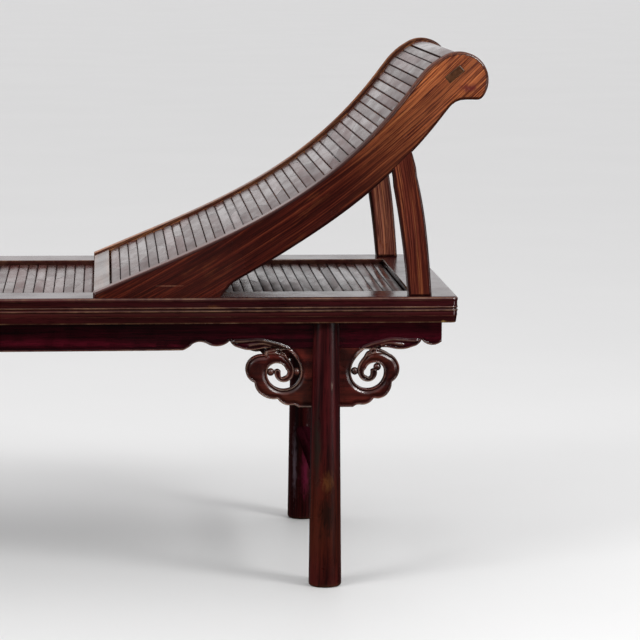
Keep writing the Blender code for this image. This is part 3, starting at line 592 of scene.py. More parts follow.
def fair(loop, step, corner=math.radians(34)):
    """The loop as a smooth curve through its points, with its corners kept and points a step apart."""
    count = len(loop)
    turns = [abs(turning(loop[i - 1], loop[i], loop[(i + 1) % count])) for i in range(count)]
    points = []
    for i in range(count):
        a, b = Vector(loop[i]), Vector(loop[(i + 1) % count])
        long = (b - a).length
        before = 2 * a - b if turns[i] > corner else Vector(loop[i - 1])
        after = 2 * b - a if turns[(i + 1) % count] > corner else Vector(loop[(i + 2) % count])
        pull_a = (b - before) * min(0.5, 0.5 * long / max((a - before).length, 1e-9))
        pull_b = (after - a) * min(0.5, 0.5 * long / max((after - b).length, 1e-9))
        parts = max(1, round(long / step))
        for k in range(parts):
            t = k / parts
            spot = a * (2 * t**3 - 3 * t**2 + 1) + pull_a * (t**3 - 2 * t**2 + t)
            points.append(tuple(spot + b * (3 * t**2 - 2 * t**3) + pull_b * (t**3 - t**2)))
    return points


def rounded_board(node, rounding, reshape, finish, board):
    """A board cut to a CAD node's outline, with both rims rounded over and any mortise cut through it.

    reshape moves points of the outline, from their places and outward normals.
    """
    low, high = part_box(node)
    outer, inner = (low.y, high.y) if abs(low.y) > abs(high.y) else (high.y, low.y)
    loops = section(node, outer + 0.15 * (inner - outer))
    outline = np.array(fair(loops[0], 0.006))
    along = np.roll(outline, -1, axis=0) - np.roll(outline, 1, axis=0)
    normals = np.stack([along[:, 1], -along[:, 0]], axis=1) / np.linalg.norm(along, axis=1)[:, None]
    outline = reshape(outline, normals)
    bm = bmesh.new()
    rings = [[bm.verts.new((x, y, z)) for x, z in outline] for y in (inner, outer)]
    rims = []
    for ring in rings:
        rims += bm.faces.new(ring).edges
    for i in range(len(outline)):
        bm.faces.new((rings[0][i - 1], rings[0][i], rings[1][i], rings[1][i - 1]))
    bmesh.ops.recalc_face_normals(bm, faces=bm.faces)
    result = bmesh.ops.bevel(
        bm, geom=rims, offset=rounding, segments=4, profile=0.5, affect="EDGES", clamp_overlap=False
    )
    mark_arrises(bm, result["faces"])
    piece = made(f"{node}_finished", bm, finish, [node], board)
    for loop in loops[1:]:
        cut_through(piece, grown(np.array(loop)), outer, inner)
    return piece


def grown(spots):
    """The outline of a tenon, a little larger."""
    middle = (spots.min(0) + spots.max(0)) / 2
    return middle + (spots - middle) * TENON_GROWTH


def flare(piece, depth):
    """Widens a rail's two tenon ends, which lie beyond a depth, to fill their mortises."""
    for side in (-1, 1):
        ends = [vert for vert in piece.data.vertices if side * vert.co.y > abs(depth)]
        spots = grown(np.array([(vert.co.x, vert.co.z) for vert in ends]))
        for vert, (x, z) in zip(ends, spots):
            vert.co.x, vert.co.z = x, z


def cut_through(piece, loop, outer, inner):
    """Cuts a mortise of a given outline from the outer face some way into a board."""
    bm = bmesh.new()
    beyond = outer + 0.2 * (outer - inner)
    rings = [[bm.verts.new((x, y, z)) for x, z in loop] for y in (beyond, (outer + inner) / 2)]
    bm.faces.new(rings[0])
    bm.faces.new(rings[1])
    for i in range(len(loop)):
        bm.faces.new((rings[0][i - 1], rings[0][i], rings[1][i], rings[1][i - 1]))
    bmesh.ops.recalc_face_normals(bm, faces=bm.faces)
    mesh = bpy.data.meshes.new("mortise")
    bm.to_mesh(mesh)
    bm.free()
    cutter = bpy.data.objects.new("mortise", mesh)
    bpy.context.scene.collection.objects.link(cutter)
    modifier = piece.modifiers.new("mortise", "BOOLEAN")
    modifier.operation, modifier.solver, modifier.object = "DIFFERENCE", "EXACT", cutter
    baked(piece)
    bpy.data.objects.remove(cutter)


def rail_profile():
    """Moulding of the seat rails from the inner top edge round to the inner bottom edge.

    Each row has the distance in from the outer face, the height under the top, and how much it is worn.
    Near the inner face the first number is that much less than one as the row is metres from it.
    """
    rows = [(1.0, -0.0016, 0.2), (0.9998, -0.0007, 0.9), (0.9990, 0.0, 0.9), (0.9975, 0.0, 0.0)]
    rows += [(0.0105, 0.0, 0.0), (0.0060, -0.0001, 0.0)]
    for i, wear in enumerate((0.05, 0.05, 0.05, 0.5, 0.5, 0.05, 0.05)):
        turn = math.pi / 2 * i / 6
        rows.append((RAIL_ROUND * (1 - math.sin(turn)), RAIL_ROUND * (math.cos(turn) - 1), wear))
    rows += [(0.0002, -0.0058, 0.2), (0.0009, -0.0066, 0.0), (0.0010, -0.0080, 0.0), (0.0009, -0.0136, 0.0)]
    rows += [(0.0008, -0.0146, 0.0)]
    for middle in RAIL_BEADS:
        for i, wear in enumerate((0.0, 0.0, 0.35, 0.7, 0.3, 0.0, 0.0)):
            turn = math.pi * i / 6
            rows.append((RAIL_BEAD * (1 - math.sin(turn)), middle + RAIL_BEAD * math.cos(turn), wear))
    rows += [(0.0010, -0.0245, 0.0), (0.0011, -0.0300, 0.0), (0.0012, -0.0306, 0.45), (0.0016, -0.0312, 0.0)]
    rows += [(0.0019, -0.0340, 0.0), (0.0026, -0.0392, 0.0), (0.0032, -0.0412, 1.0), (0.0040, -0.0419, 1.0)]
    rows += [(0.0052, -0.0420, 0.6), (1.0, -0.0420, 0.0)]
    return rows


def seat_rail(node, long_axis, finish, board):
    """A moulded rail with mitred ends and softly rounded outer corners."""
    low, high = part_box(node)
    frame_low, frame_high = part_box("rail_front")[0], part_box("rail_back")[1] + Vector((RAIL_GROWTH, 0, 0))
    middle = (frame_low + frame_high) / 2
    half = (frame_high - frame_low) / 2
    cross_axis = 1 - long_axis
    side = 1 if (low + high)[cross_axis] / 2 > middle[cross_axis] else -1
    width = high[cross_axis] - low[cross_axis]
    reach = high[2] - low[2]
    turns = (45, 30, 15, 0)  # round a corner, in degrees
    stations = [(-1, degrees) for degrees in turns] + [(1, degrees) for degrees in turns[::-1]]
    bm = bmesh.new()
    arris = bm.verts.layers.float.new("arris")
    rings = []
    for end, degrees in stations:
        turn = math.radians(degrees)
        ring = []
        for inset, height, wear in rail_profile():
            inset = width - (1 - inset) if inset > 0.5 else inset
            radius = RAIL_CORNER - inset
            if radius > 0:
                along = half[long_axis] - RAIL_CORNER + radius * math.sin(turn)
                across = half[cross_axis] - RAIL_CORNER + radius * math.cos(turn)
            else:
                along = half[long_axis] - inset
                across = half[cross_axis] - inset
            spot = [0, 0, high[2] + max(height, -reach)]
            spot[long_axis] = middle[long_axis] + end * (along - MITRE_SEAM)
            spot[cross_axis] = middle[cross_axis] + side * across
            vert = bm.verts.new(spot)
            vert[arris] = wear
            ring.append(vert)
        rings.append(ring)
    for first, second in zip(rings, rings[1:]):
        for i in range(len(first)):
            bm.faces.new((first[i - 1], first[i], second[i], second[i - 1]))
    bm.faces.new(rings[0])
    bm.faces.new(rings[-1][::-1])
    bmesh.ops.remove_doubles(bm, verts=bm.verts, dist=2e-6)
    bmesh.ops.recalc_face_normals(bm, faces=bm.faces)
    return made(f"{node}_finished", bm, finish, [node], board)


def slat_ends(node):
    """Middle and lean of every slat in a CAD node, from the end faces that they show on its back side."""
    bm = merged(node)
    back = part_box(node)[1].y
    left = [f for f in bm.faces if all(abs(v.co.y - back) < 1e-5 for v in f.verts)]
    found = []
    while left:
        island = [left.pop()]
        for face in island:
            near = dict.fromkeys(f for e in face.edges for f in e.link_faces if f in left)
            island += near
            left = [f for f in left if f not in near]
        corners = dict.fromkeys(v.co.to_tuple(7) for f in island for v in f.verts)
        spots = np.array(list(corners))[:, [0, 2]]
        area = sum(f.calc_area() for f in island)
        middle = sum((np.array(f.calc_center_median())[[0, 2]] * f.calc_area() for f in island)) / area
        direction = np.linalg.svd(spots - spots.mean(0))[2][0]
        direction = direction * np.sign(direction[0])
        lean = math.atan2(direction[1], direction[0])
        found.append((*middle, lean, np.ptp(spots @ direction)))
    bm.free()
    return sorted(found)


def slat_tree():
    """Geometry nodes that lay one slat at each point, each a little different."""
    nodes = bpy.data.node_groups.new("slat_row", "GeometryNodeTree")
    nodes.interface.new_socket("Geometry", in_out="INPUT", socket_type="NodeSocketGeometry")
    for name in ("Width", "Length", "Thickness", "Rounding", "Tip", "Wobble"):
        nodes.interface.new_socket(name, in_out="INPUT", socket_type="NodeSocketFloat")
    nodes.interface.new_socket("Seed", in_out="INPUT", socket_type="NodeSocketInt")
    nodes.interface.new_socket("Finish", in_out="INPUT", socket_type="NodeSocketMaterial")
    nodes.interface.new_socket("Geometry", in_out="OUTPUT", socket_type="NodeSocketGeometry")
    tree = Tree(nodes)
    given = nodes.nodes.new("NodeGroupInput")
    value = {socket.name: Field(tree, socket) for socket in given.outputs if socket.name}

    # One slat: a rounded section drawn along a line whose points crowd at its ends, where it narrows
    section_size = {"Width": value["Width"], "Height": value["Thickness"]}
    profile = tree.add("GeometryNodeCurvePrimitiveQuadrilateral", values=section_size)
    fillet = {"Curve": profile, "Radius": value["Rounding"], "Count": 2, "Limit Radius": True}
    profile = tree.add("GeometryNodeFilletCurve", {"mode": "POLY"}, fillet)
    line = tree.add("GeometryNodeCurvePrimitiveLine", values={"Start": (0, -0.5, 0), "End": (0, 0.5, 0)})
    line = tree.add("GeometryNodeResampleCurve", values={"Curve": line, "Count": 15})
    share = tree.add("GeometryNodeSplineParameter", output="Factor") - 0.5
    crowd = share.math("SINE", share.math("SINE", share * math.pi) * (math.pi / 2))
    y = crowd * value["Length"] * 0.5
    spot = tree.add("ShaderNodeCombineXYZ", values={"Y": y})
    line = tree.add("GeometryNodeSetPosition", values={"Geometry": line, "Position": spot})
    inward = ((0.5 * value["Length"] - abs(y)) / value["Tip"]).least(1.0)
    narrow = ((1 - (1 - inward) ** 2) ** 0.5).most(0.35)
    line = tree.add("GeometryNodeSetCurveRadius", values={"Curve": line, "Radius": narrow})
    slat = {"Curve": line, "Profile Curve": profile, "Fill Caps": True}
    slat = tree.add("GeometryNodeCurveToMesh", values=slat)
    x = tree.parts(tree.add("GeometryNodeInputPosition"))[0]
    store = {"Geometry": slat, "Name": "across", "Value": x / (value["Width"] * 0.5)}
    slat = tree.add("GeometryNodeStoreNamedAttribute", {"data_type": "FLOAT", "domain": "POINT"}, store)

    # A slat at each point, turned to the lean there
    lean = tree.add("GeometryNodeInputNamedAttribute", {"data_type": "FLOAT"}, {"Name": "lean"})
    turn = tree.add("ShaderNodeCombineXYZ", values={"Y": 0 - lean})

    def chance(low, high, shift):
        values = {2: low, 3: high, "Seed": value["Seed"] + shift}
        return tree.add("FunctionNodeRandomValue", {"data_type": "FLOAT"}, values, output=1)

    breadth = tree.add("GeometryNodeInputNamedAttribute", {"data_type": "FLOAT"}, {"Name": "breadth"})
    breadth = breadth * chance(0.975, 1.0, 1)
    size = tree.add("ShaderNodeCombineXYZ", values={0: breadth, 1: chance(0.990, 1.0, 2), 2: 1.0})
    row = {"Points": value["Geometry"], "Instance": slat, "Rotation": turn, "Scale": size}
    row = tree.add("GeometryNodeInstanceOnPoints", values=row)
    drop = tree.add("ShaderNodeCombineXYZ", values={"Z": chance(-0.0004, 0.0003, 3)})
    row = tree.add("GeometryNodeTranslateInstances", values={"Instances": row, "Translation": drop})
    store = {"Geometry": row, "Name": "strip", "Value": chance(0.0, 1.0, 4)}
    row = tree.add("GeometryNodeStoreNamedAttribute", {"data_type": "FLOAT", "domain": "INSTANCE"}, store)
    row = tree.add("GeometryNodeRealizeInstances", values={"Geometry": row})

    # Long edges that wander a little
    wander = tree.add("ShaderNodeTexNoise", values={"Scale": 5.0, "Detail": 1.0}) - 0.5
    away = tree.add("ShaderNodeCombineXYZ", values={"X": wander * value["Wobble"] * 2})
    row = tree.add("GeometryNodeSetPosition", values={"Geometry": row, "Offset": away})
    row = tree.add("GeometryNodeSetMaterial", values={"Geometry": row, "Material": value["Finish"]})
    nodes.nodes.new("NodeGroupOutput")
    nodes.links.new(row.socket, nodes.nodes["Group Output"].inputs[0])
    return nodes


def evened(spots, reach):
    """The slats widened until only a narrow gap is left between neighbours, and the last one further."""
    steps = [math.dist(a[:2], b[:2]) for a, b in zip(spots, spots[1:])]
    found = []
    for i, (x, z, lean, width) in enumerate(spots):
        before = steps[i - 1] / 2 if i > 0 else width / 2
        after = steps[i] / 2 if i < len(steps) else width / 2 + reach
        shift = (after - before) / 2
        place = x + shift * math.cos(lean), z + shift * math.sin(lean)
        found.append((*place, lean, before + after - SLAT_GAP))
    return found


def slat_row(name, cad_nodes, tree, length, reach, finish, seed):
    """The slats that stand for some CAD nodes. The last one reaches further."""
    spots = evened([spot for node in cad_nodes for spot in slat_ends(node)], reach)
    usual = sorted(spot[3] for spot in spots)[len(spots) // 2]
    mesh = bpy.data.meshes.new(name)
    mesh.from_pydata([(x, 0, z) for x, z, *_ in spots], [], [])
    leans = mesh.attributes.new("lean", "FLOAT", "POINT")
    leans.data.foreach_set("value", [spot[2] for spot in spots])
    widths = mesh.attributes.new("breadth", "FLOAT", "POINT")
    widths.data.foreach_set("value", [spot[3] / usual for spot in spots])
    row = bpy.data.objects.new(name, mesh)
    bpy.context.scene.collection.objects.link(row)
    modifier = row.modifiers.new("slats", "NODES")
    modifier.node_group = tree
    sizes = {
        "Width": usual, "Length": length, "Thickness": SLAT_THICKNESS, "Rounding": SLAT_ROUND,
        "Tip": SLAT_TIP, "Wobble": SLAT_WOBBLE, "Seed": seed, "Finish": finish,
    }
    for socket in tree.interface.items_tree:
        if socket.in_out == "INPUT" and socket.name in sizes:
            modifier[socket.identifier] = sizes[socket.name]
    baked(row)
    row.data.shade_smooth()
    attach(row, "root")
    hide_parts(*cad_nodes)
    return row


def distances(points, segments):
    """Distance from each point to the nearest of some segments. Of many, only the close ones are tried."""
    if len(segments) < 60:
        return np.min([beside(points, *segment) for segment in segments], axis=0)
    tree = KDTree(len(segments))
    for i, (x, z) in enumerate(segments.mean(axis=1)):
        tree.insert((x, z, 0), i)
    tree.balance()
    near = [[found[1] for found in tree.find_n((x, z, 0), 4)] for x, z in points]
    near = np.array(near, int).reshape(-1, 4).T
    return np.min([beside(points, segments[i, 0], segments[i, 1]) for i in near], axis=0)


def beside(points, start, end):
    """Distance from each point to one segment, or to a segment of its own."""
    along = end - start
    t = np.clip(((points - start) * along).sum(-1) / np.maximum((along * along).sum(-1), 1e-12), 0, 1)
    return np.linalg.norm(points - start - t[:, None] * along, axis=1)


def inside(points, loops):
    """Which points lie inside the first loop and outside the others."""
    crossings = np.zeros(len(points), int)
    for loop in loops:
        a = np.array(loop)
        b = np.roll(a, -1, axis=0)
        for (ax, az), (bx, bz) in zip(a, b):
            if az != bz:
                between = (points[:, 1] > az) != (points[:, 1] > bz)
                crossings += between & (points[:, 0] < ax + (points[:, 1] - az) * (bx - ax) / (bz - az))
    return crossings % 2 == 1


def carving(loops, plain, relief, fine, thinned):
    """Points, triangles, heights, wear and painted hollow shade of a carved face. Its lower rims are the
    palest, partly as wear and partly as a painted highlight.

    plain tells which stretches of the outlines are joints and carry no bead. relief gives height and wear at
    points from their distances to the carved edges. fine is the spacing of points away from the edges, and
    thinned tells which of those points are left out.
    """
    loops = [np.array(loop) for loop in loops]
    segments = np.concatenate([np.stack([loop, np.roll(loop, -1, axis=0)], axis=1) for loop in loops])
    carved = np.array([not plain(a, b) for a, b in segments])
    rim = np.concatenate(loops)
    first = np.cumsum([0] + [len(loop) for loop in loops])
    edges = [(i, i + 1 if i + 1 < hi else lo) for lo, hi in zip(first, first[1:]) for i in range(lo, hi)]
    along = segments[:, 1] - segments[:, 0]
    across = np.stack([-along[:, 1], along[:, 0]], axis=1) / np.linalg.norm(along, axis=1)[:, None]
    middles = segments.mean(axis=1)
    rows = [rim]
    for depth in BEAD * np.array([0.12, 0.30, 0.5, 0.70, 0.88, 1.05, 1.3, 1.7]):
        for side in (-1, 1):
            spots = (middles + side * across * depth)[carved]
            spots = spots[inside(spots, loops)]
            rows.append(spots[distances(spots, segments) > 0.93 * depth])
    low, high = rim.min(0), rim.max(0)
    ranks = np.arange(low[1], high[1], fine * 0.87)
    files = np.arange(low[0], high[0], fine)
    grid = [(x + (k % 2) * fine / 2, z) for k, z in enumerate(ranks) for x in files]
    grid = np.array([spot for i, spot in enumerate(grid) if not thinned(i, *spot)])
    grid = grid[inside(grid, loops)]
    clear = distances(grid, segments[carved]) > BEAD * 1.7 + 0.4 * fine
    clear &= distances(grid, segments[~carved]) > 0.5 * fine
    rows.append(grid[clear])
    found = delaunay_2d_cdt([Vector(p) for p in np.concatenate(rows)], edges, [], 0, 1e-6, False)
    spots = np.array([tuple(p) for p in found[0]])
    triangles = np.array([f for f in found[2] if len(f) == 3])
    triangles = triangles[inside(spots[triangles].mean(axis=1), loops)]
    deep = distances(spots, segments[carved])
    height, wear = relief(spots, deep)
    # Lower rims of the beads are painted paler: partly wear, partly a painted highlight.
    below = np.clip((distances(spots + (0, 0.3), segments[carved]) - deep) / 0.3, 0, 1)
    wear = np.maximum(0.4 * wear, 2.2 * below**2 * np.exp(-(((deep / BEAD - 0.25) / 0.30) ** 2)))
    wear = wear * eased(deep, 0, 0.12 * BEAD, 0, 1)
    # Painted shade: how much darker a point is painted in the hollow behind a bead.
    hollow = np.clip((-height - 0.5) / 2.4, 0, 1) * eased(deep, 0.7 * BEAD, 1.1 * BEAD, 0, 1)
    return spots, triangles, height, wear, hollow


def carved_board(bm, face, at, half):
    """Adds a board with a carved face on both sides. at gives the place of a point of the carving."""
    spots, triangles, height, wear, hollow = face
    arris, dirt_and_painted_shade = bm.verts.layers.float.new("arris"), bm.verts.layers.float.new("hollow")
    sheets = []
    for side in (-1, 1):
        sheet = [bm.verts.new(at(x, side * (half + h / 1000), z)) for (x, z), h in zip(spots, height)]
        # Each point keeps its wear and its painted hollow shade.
        for vert, wear_and_painted_sheen, deep in zip(sheet, wear, hollow):
            vert[arris], vert[dirt_and_painted_shade] = wear_and_painted_sheen, deep
        sheets.append(sheet)
    new = []
    for a, b, c in triangles:
        new.append(bm.faces.new([sheets[0][i] for i in (a, b, c)]))
        new.append(bm.faces.new([sheets[1][i] for i in (c, b, a)]))
    index = {vert: i for i, vert in enumerate(sheets[0])}
    rims = dict.fromkeys(e for f in new[::2] for e in f.edges if e.is_boundary)
    for edge in rims:
        a, b = (index[v] for v in edge.verts)
        new.append(bm.faces.new((sheets[0][a], sheets[0][b], sheets[1][b], sheets[1][a])))
        if min(height[a], height[b]) > -1.0:
            for sheet in sheets:
                bm.edges.get((sheet[a], sheet[b])).smooth = False
    bmesh.ops.delete(bm, geom=[v for v in bm.verts if not v.link_faces], context="VERTS")
    bmesh.ops.recalc_face_normals(bm, faces=new)


def bead_profile(deep):
    """Height and wear across a carved bead and the hollow behind it, in millimetres."""
    t = deep / BEAD
    bead = 1.7 * (np.sqrt(np.clip(1 - (2 * np.clip(t, 0, 1) - 1) ** 2, 0, 1)) - 1)
    hollow = eased(deep, 3.4, 9.4, -2.4, 0.0)
    blend = np.clip((t - 0.9) / 0.35, 0, 1)
    return bead * (1 - blend) + hollow * blend, np.exp(-(((t - 0.5) / 0.26) ** 2))


def ridge(points, path, width, height):
    """Height of a raised ridge along a path, with a groove on either side, or of a groove below nought."""
    path = np.array(path, float)
    away = distances(points, np.stack([path[:-1], path[1:]], axis=1)) / width
    beside = 0.45 * np.exp(-(((away - 1.9) / 0.75) ** 2)) if height > 0 else 0
    return height * (np.exp(-(away**2)) - beside)


def eased(value, start, end, before, after):
    share = np.clip((value - start) / (end - start), 0, 1)
    return before + (after - before) * share**2 * (3 - 2 * share)


def slot_outline():
    """Slot of a cloud scroll: a spiral from a pointed mouth under the apron into an eye, round a tongue."""
    angles = np.arange(84, 616, 2.0)
    ceiling = 37.2 / np.maximum(np.sin(np.radians(angles)), 0.5)
    outer = np.minimum(SLOT_REACH + 12.0 * np.exp((97 - angles) / 28), ceiling)
    outer = np.where(angles > 365, eased(angles, 365, 490, SLOT_REACH, EYE_REACH), outer)
    spots = list(zip(angles, outer))
    back = np.arange(283, 388, 5.0)
    spots += zip(back, eased(back, 283, 345, 8.3, 5.0))
    spots += [(392, 5.8), (394, 7.6), (393, 9.6), (389, 11.6), (383, 13.2)]
    home = np.arange(376, 84, -2.0)
    tongue = TONGUE_REACH + 12.2 * np.exp((97 - home) / 36)
    spots += zip(home, eased(home, 83, 106, 34.0, tongue))
    return [scroll_spot(*spot) for spot in spots]


def scroll_spot(degrees, radius):
    """A point at an angle and a radius from the scroll's middle."""
    turn = math.radians(degrees)
    return SCROLL_MIDDLE[0] + radius * math.cos(turn), SCROLL_MIDDLE[1] + radius * math.sin(turn)


def spandrels(finish):
    """Eight cloud scrolls with beaded edges and ball beads in the slot, from two carvings."""
    faces = {}
    for i, node in enumerate(sorted(n for n in NODES if n.startswith("spandrel"))):
        low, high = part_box(node)
        where = node.split("_")[-1]
        pair = node.replace("inner", "outer") if where == "inner" else node.replace("outer", "inner")
        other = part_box(pair)
        hand = 1 if low.x > other[0].x else -1
        axis = (low.x + other[1].x) / 2 if hand > 0 else (high.x + other[0].x) / 2
        middle, half, joint = (low.y + high.y) / 2, (high.y - low.y) / 2, high.z

        def at(x, y, z):
            return axis + hand * x / 1000, middle + y, joint + z / 1000

        if where not in faces:
            outline = section(node, middle + 0.94 * half)[0]
            outline = simplified([(hand * (x - axis) * 1000, (z - joint) * 1000) for x, z in outline])
            outline = [(x + eased(x, 84, 122, 0, LOBE_GROWTH[where]), z) for x, z in outline]
            loops = [throat(fair(outline, 1.0), NOTCH[where]), fair(slot_outline(), 1.0)]
            plain = partial(spandrel_joint, neck_end=NECK_END[where])
            faces[where] = carving(loops, plain, spandrel_relief, 1.5, lambda *_: False)
        bm = bmesh.new()
        carved_board(bm, faces[where], at, half - BOARD_SETBACK)
        for ball in BALLS[where]:
            x, z = scroll_spot(*ball)
            place = Matrix.Translation(at(x, 0, z))
            size = {"u_segments": 20, "v_segments": 12, "radius": BALL_RADIUS / 1000}
            for vert in bmesh.ops.create_uvsphere(bm, matrix=place, **size)["verts"]:
                vert[bm.verts.layers.float["arris"]] = 0.10
        made(f"{node}_carved", bm, finish, [node], 0.17 * i + 0.4)


def throat(loop, notch):
    """The outline with a notch cut into the neck, under the leaf."""
    gone = [86 < x < notch[0][0] + 0.6 and z > notch[0][1] - 0.9 for x, z in loop]
    start = next(i for i in range(len(loop)) if gone[i] and not gone[i - 1])
    kept = [loop[i - len(loop)] for i in range(start, start + len(loop)) if not gone[i - len(loop)]]
    cut = []
    for a, b in zip(notch, notch[1:]):
        cut += [tuple(spot) for spot in np.linspace(a, b, max(1, round(math.dist(a, b))), endpoint=False)]
    return cut + notch[-1:] + kept


def spandrel_relief(spots, deep):
    return with_leaf(spots, *bead_profile(deep))


def spandrel_joint(a, b, neck_end):
    """Whether a stretch of a spandrel's outline carries no bead: at the leg, the apron or the neck's end."""
    joint = max(a[0], b[0]) < 2 or min(a[1], b[1]) > -1.2
    return joint or (min(a[0], b[0]) > 86 and min(a[1], b[1]) > neck_end)


def aprons(finish):
    """Front and back aprons, with a bead along the lower edge and a carved leaf on each side of a leg."""
    low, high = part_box("apron_front")
    inner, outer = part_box("spandrel_front_head_inner"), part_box("spandrel_front_head_outer")
    centre, joint = (low.x + high.x) / 2, inner[1].z
    axis = ((inner[1].x + outer[0].x) / 2 - centre) * 1000
    top = (high.z - joint) * 1000

    def from_leg(x):
        return abs(abs(x) - axis)

    def plain(a, b):
        jointed = max(from_leg(a[0]), from_leg(b[0])) < LEAF_START and max(a[1], b[1]) < 4
        return jointed or max(a[1], b[1]) > top - 2 or abs(a[0] - b[0]) < 0.01

    def relief(spots, deep):
        height, wear = bead_profile(deep)
        away = from_leg(spots[:, 0])
        height = height * (1 - np.clip((deep - 3) / 4, 0, 1)) * eased(away, LEAF_START, LEAF_START + 14, 0, 1)
        return with_leaf(np.stack([away, spots[:, 1]], axis=1), height, wear)

    def thinned(k, x, z):
        return not 45 < from_leg(x) < 165 and k % 23 > 0

    middle, half = (low.y + high.y) / 2, (high.y - low.y) / 2
    outline = section("apron_front", low.y + 0.1 * half)[0]
    outline = [((x - centre) * 1000, (z - joint) * 1000) for x, z in outline]
    face = carving([fair(outline, 1.6)], plain, relief, 1.6, thinned)
    for i, (node, side) in enumerate((("apron_front", 1), ("apron_back", -1))):
        bm = bmesh.new()

        def at(x, y, z):
            return centre + x / 1000, side * (middle + y), joint + z / 1000

        carved_board(bm, face, at, half - BOARD_SETBACK)
        made(f"{node}_carved", bm, finish, [node], 0.33 * i + 0.62)


def with_leaf(local, height, wear):
    """Adds the ridges of a carved leaf, at points from the leg's axis and the joint."""
    fade = eased(local[:, 1], -21, -12, 0, 1)
    for path, width, rise in RIDGES:
        raised = fade * ridge(local, path, width, rise)
        height = height + raised
        wear = np.maximum(wear, 1.6 * np.clip(raised / abs(rise), 0, 1) ** 4)
    return height, wear


def camera():
    yaw, pitch = CAMERA_YAW, CAMERA_PITCH
    ahead = Vector((math.sin(yaw) * math.cos(pitch), math.cos(yaw) * math.cos(pitch), -math.sin(pitch)))
    right = Vector((math.cos(yaw), -math.sin(yaw), 0))
    up = right.cross(ahead)
    across = right * math.cos(CAMERA_ROLL) + up * math.sin(CAMERA_ROLL)
    above = up * math.cos(CAMERA_ROLL) - right * math.sin(CAMERA_ROLL)
    data = bpy.data.cameras.new("camera")
    data.sensor_width = CAMERA_SENSOR
    data.lens = CAMERA_LENS
    data.clip_end = 100
    viewer = bpy.data.objects.new("camera", data)
    turn = Matrix((across, above, -ahead)).transposed()
    viewer.matrix_world = Matrix.Translation(CAMERA_PLACE) @ turn.to_4x4()
    bpy.context.scene.collection.objects.link(viewer)
    bpy.context.scene.camera = viewer


def soft_box(name, place, target, size, power, roll):
    data = bpy.data.lights.new(name, "AREA")
    data.shape = "RECTANGLE"
    data.size, data.size_y = size
    data.energy = power
    light = bpy.data.objects.new(name, data)
    light.location = place
    turn = (Vector(target) - Vector(place)).to_track_quat("-Z", "Y").to_matrix()
    light.rotation_euler = (turn @ Matrix.Rotation(roll, 3, "Z")).to_euler()
    bpy.context.scene.collection.objects.link(light)
    return light


def studio():
    """A plain pale floor in a bright room with five soft boxes, of which the rim lamp only adds shine."""
    bm = bmesh.new()
    bmesh.ops.create_grid(bm, x_segments=1, y_segments=1, size=FLOOR_SIZE)
    mesh = bpy.data.meshes.new("floor")
    bm.to_mesh(mesh)
    bm.free()
    mesh.materials.append(floor_paint())
    floor = bpy.data.objects.new("floor", mesh)
    bpy.context.scene.collection.objects.link(floor)
    floor.visible_diffuse = floor.visible_glossy = False
    world = bpy.data.worlds.new("room")
    world.use_nodes = True
    tree = Tree(world.node_tree)
    _, y, z = tree.parts(tree.add("ShaderNodeTexCoord", output="Generated"))
    upper = z.band(-0.04, 0.04)
    wall = y.band(0.0, 0.5) * z.band(0.35, 0.7, 1.0, 0.0)
    strength = 0.04 + upper * (0.08 + 0.88 * z.band(0.25, 0.7) + 0.78 * wall)
    background = world.node_tree.nodes["Background"]
    background.inputs["Color"].default_value = (0.97, 0.965, 0.975, 1)
    world.node_tree.links.new(strength.socket, background.inputs["Strength"])
    bpy.context.scene.world = world
    for name, lamp in LAMPS.items():
        soft_box(name, *lamp).visible_diffuse = name != "rim"
    bpy.context.scene.view_settings.view_transform = "Standard"


def bench():
    """Rails, legs, aprons, spandrels, stretchers and battens."""
    rail_finishes = [
        lacquer(f"rail_lacquer_{axis}", axis, *RAIL_LACQUER, marks=RAIL_MARKS) for axis in (0, 1)
    ]
    leg_wear = {"marks": LEG_MARKS, "low": LEG_WORN_BELOW}
    leg_finish = lacquer("leg_lacquer", 2, *LEG_LACQUER, shine=0.14, gloss=(0.24, 0.36), **leg_wear)
    cross_finish = lacquer("cross_lacquer", 1, *CROSS_LACQUER, shine=0.0, gloss=(0.6, 0.8))
    for i, node in enumerate(("rail_front", "rail_back")):
        seat_rail(node, 0, rail_finishes[0], 0.13 + 0.31 * i)
    for i, node in enumerate(("rail_foot_end", "rail_head_end")):
        seat_rail(node, 1, rail_finishes[1], 0.57 + 0.31 * i)
    for i, node in enumerate(sorted(n for n in NODES if n.startswith("leg_"))):
        turned_leg(node, leg_finish, 0.21 * i)
    crossing = [n for n in NODES if n.endswith("_end") and n.startswith("apron")]
    crossing += [n for n in NODES if n.startswith(("stretcher", "seat_batten"))]
    for i, node in enumerate(sorted(crossing)):
        softened(node, cross_finish, 0.19 * i)
    aprons(lacquer("apron_lacquer", 0, *APRON_LACQUER, cloud=0.4))
    spandrels(lacquer("scroll_lacquer", 0, *SCROLL_LACQUER, gloss=(0.20, 0.32), cloud=0.75))


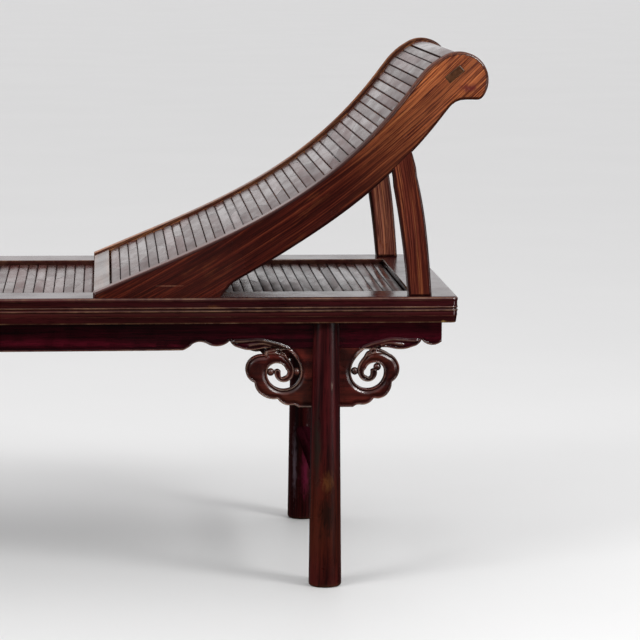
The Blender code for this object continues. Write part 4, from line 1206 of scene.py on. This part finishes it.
def backrest(strips):
    """Planks, posts and what lies between them."""
    low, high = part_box("plank_front")
    seat = low.z
    middle = ((low.x + high.x) / 2, (low.z + high.z) / 2)
    post_low, post_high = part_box("post_front")
    post_middle = ((post_low.x + post_high.x) / 2, (post_low.z + post_high.z) / 2)
    plank_woods = [
        rosewood("plank_rosewood_front", middle, *PLANK_GRAIN, *FRONT_PLANK_TONES, marks=PLANK_MARKS),
        # Painted light: the back plank's brighter tones.
        rosewood("plank_rosewood_back_painted_light", middle, *PLANK_GRAIN, *BACK_PLANK_PAINTED_LIGHT_TONES, shine=0.04, edge=0.0),
    ]
    post_woods = [
        # The back post's brighter tones are painted light.
        rosewood(f"post_rosewood_{side}", post_middle, *POST_GRAIN, *tones)
        for side, tones in POST_TONES_WITH_PAINTED_LIGHT.items()
    ]
    cross_wood = lacquer("cross_rosewood", 1, *BATTEN_LACQUER)

    def plank_shape(outline, normals):
        """Sinks the foot's rim into the seat rail and fills out the underside and the head."""
        z = outline[:, 1]
        under = np.clip(-3 * normals[:, 1] - 0.6, 0, 1) * np.clip(4 * normals[:, 0], 0, 1)
        head = HEAD_FILL * eased(z, high.z - 0.20, high.z - 0.07, 0, 1) * np.clip(normals[:, 0], 0, 1)
        under = PLANK_FILL * under * eased(z, seat + 0.01, seat + 0.06, 0, 1)
        fill = head + under * eased(z, high.z - 0.15, high.z - 0.07, 1, 0)
        foot = z < seat + 0.0008
        outline = outline + normals * fill[:, None]
        outline[:, 1] -= FOOT_SINK * foot
        return outline

    def post_shape(outline, normals):
        """Sinks both ends into the rail and the plank, and bows the outer side."""
        x, z = outline.T
        top = z > post_high.z - 0.042 + 0.55 * (x - post_middle[0])
        foot = z < post_low.z + 0.0008
        share = np.clip((z - post_low.z) / (post_high.z - post_low.z), 0, 1)
        bow = POST_BOW * np.sin(math.pi * share**1.6) * (normals[:, 0] > 0.5)
        lean = eased(share, 0, 1, 0, POST_LEAN) + bow
        return np.stack([x + lean, z + POST_SINK * top - FOOT_SINK * foot], axis=1)

    for i, side in enumerate(("front", "back")):
        rounded_board(f"plank_{side}", PLANK_ROUND, plank_shape, plank_woods[i], 0.37 * i)
        rounded_board(f"post_{side}", POST_ROUND, post_shape, post_woods[i], 0.37 * i + 0.2)
    for i, node in enumerate(("head_rail", "ramp_foot_strip", "ramp_batten_1", "ramp_batten_2")):
        piece = softened(node, cross_wood, 0.23 * i)
        if node == "head_rail":
            flare(piece, low.y + 0.01)
    softened("crest_board", strips, 0.5)


def slats(strips):
    """The slats of the seat and of the backrest."""
    tree = slat_tree()
    seat = sorted(n for n in NODES if n.startswith("seat_slats"))
    ramp = sorted(n for n in NODES if n.startswith("ramp_slats"))
    rows = ("seat_slat_row", seat, RAIL_GROWTH, 3), ("ramp_slat_row", ramp, 0.0, 8)
    for name, nodes, reach, seed in rows:
        low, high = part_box(nodes[0])
        slat_row(name, nodes, tree, high.y - low.y, reach, strips, seed)


camera()
studio()
bench()
strips = strip_lacquer("strip_lacquer")
backrest(strips)
slats(strips)
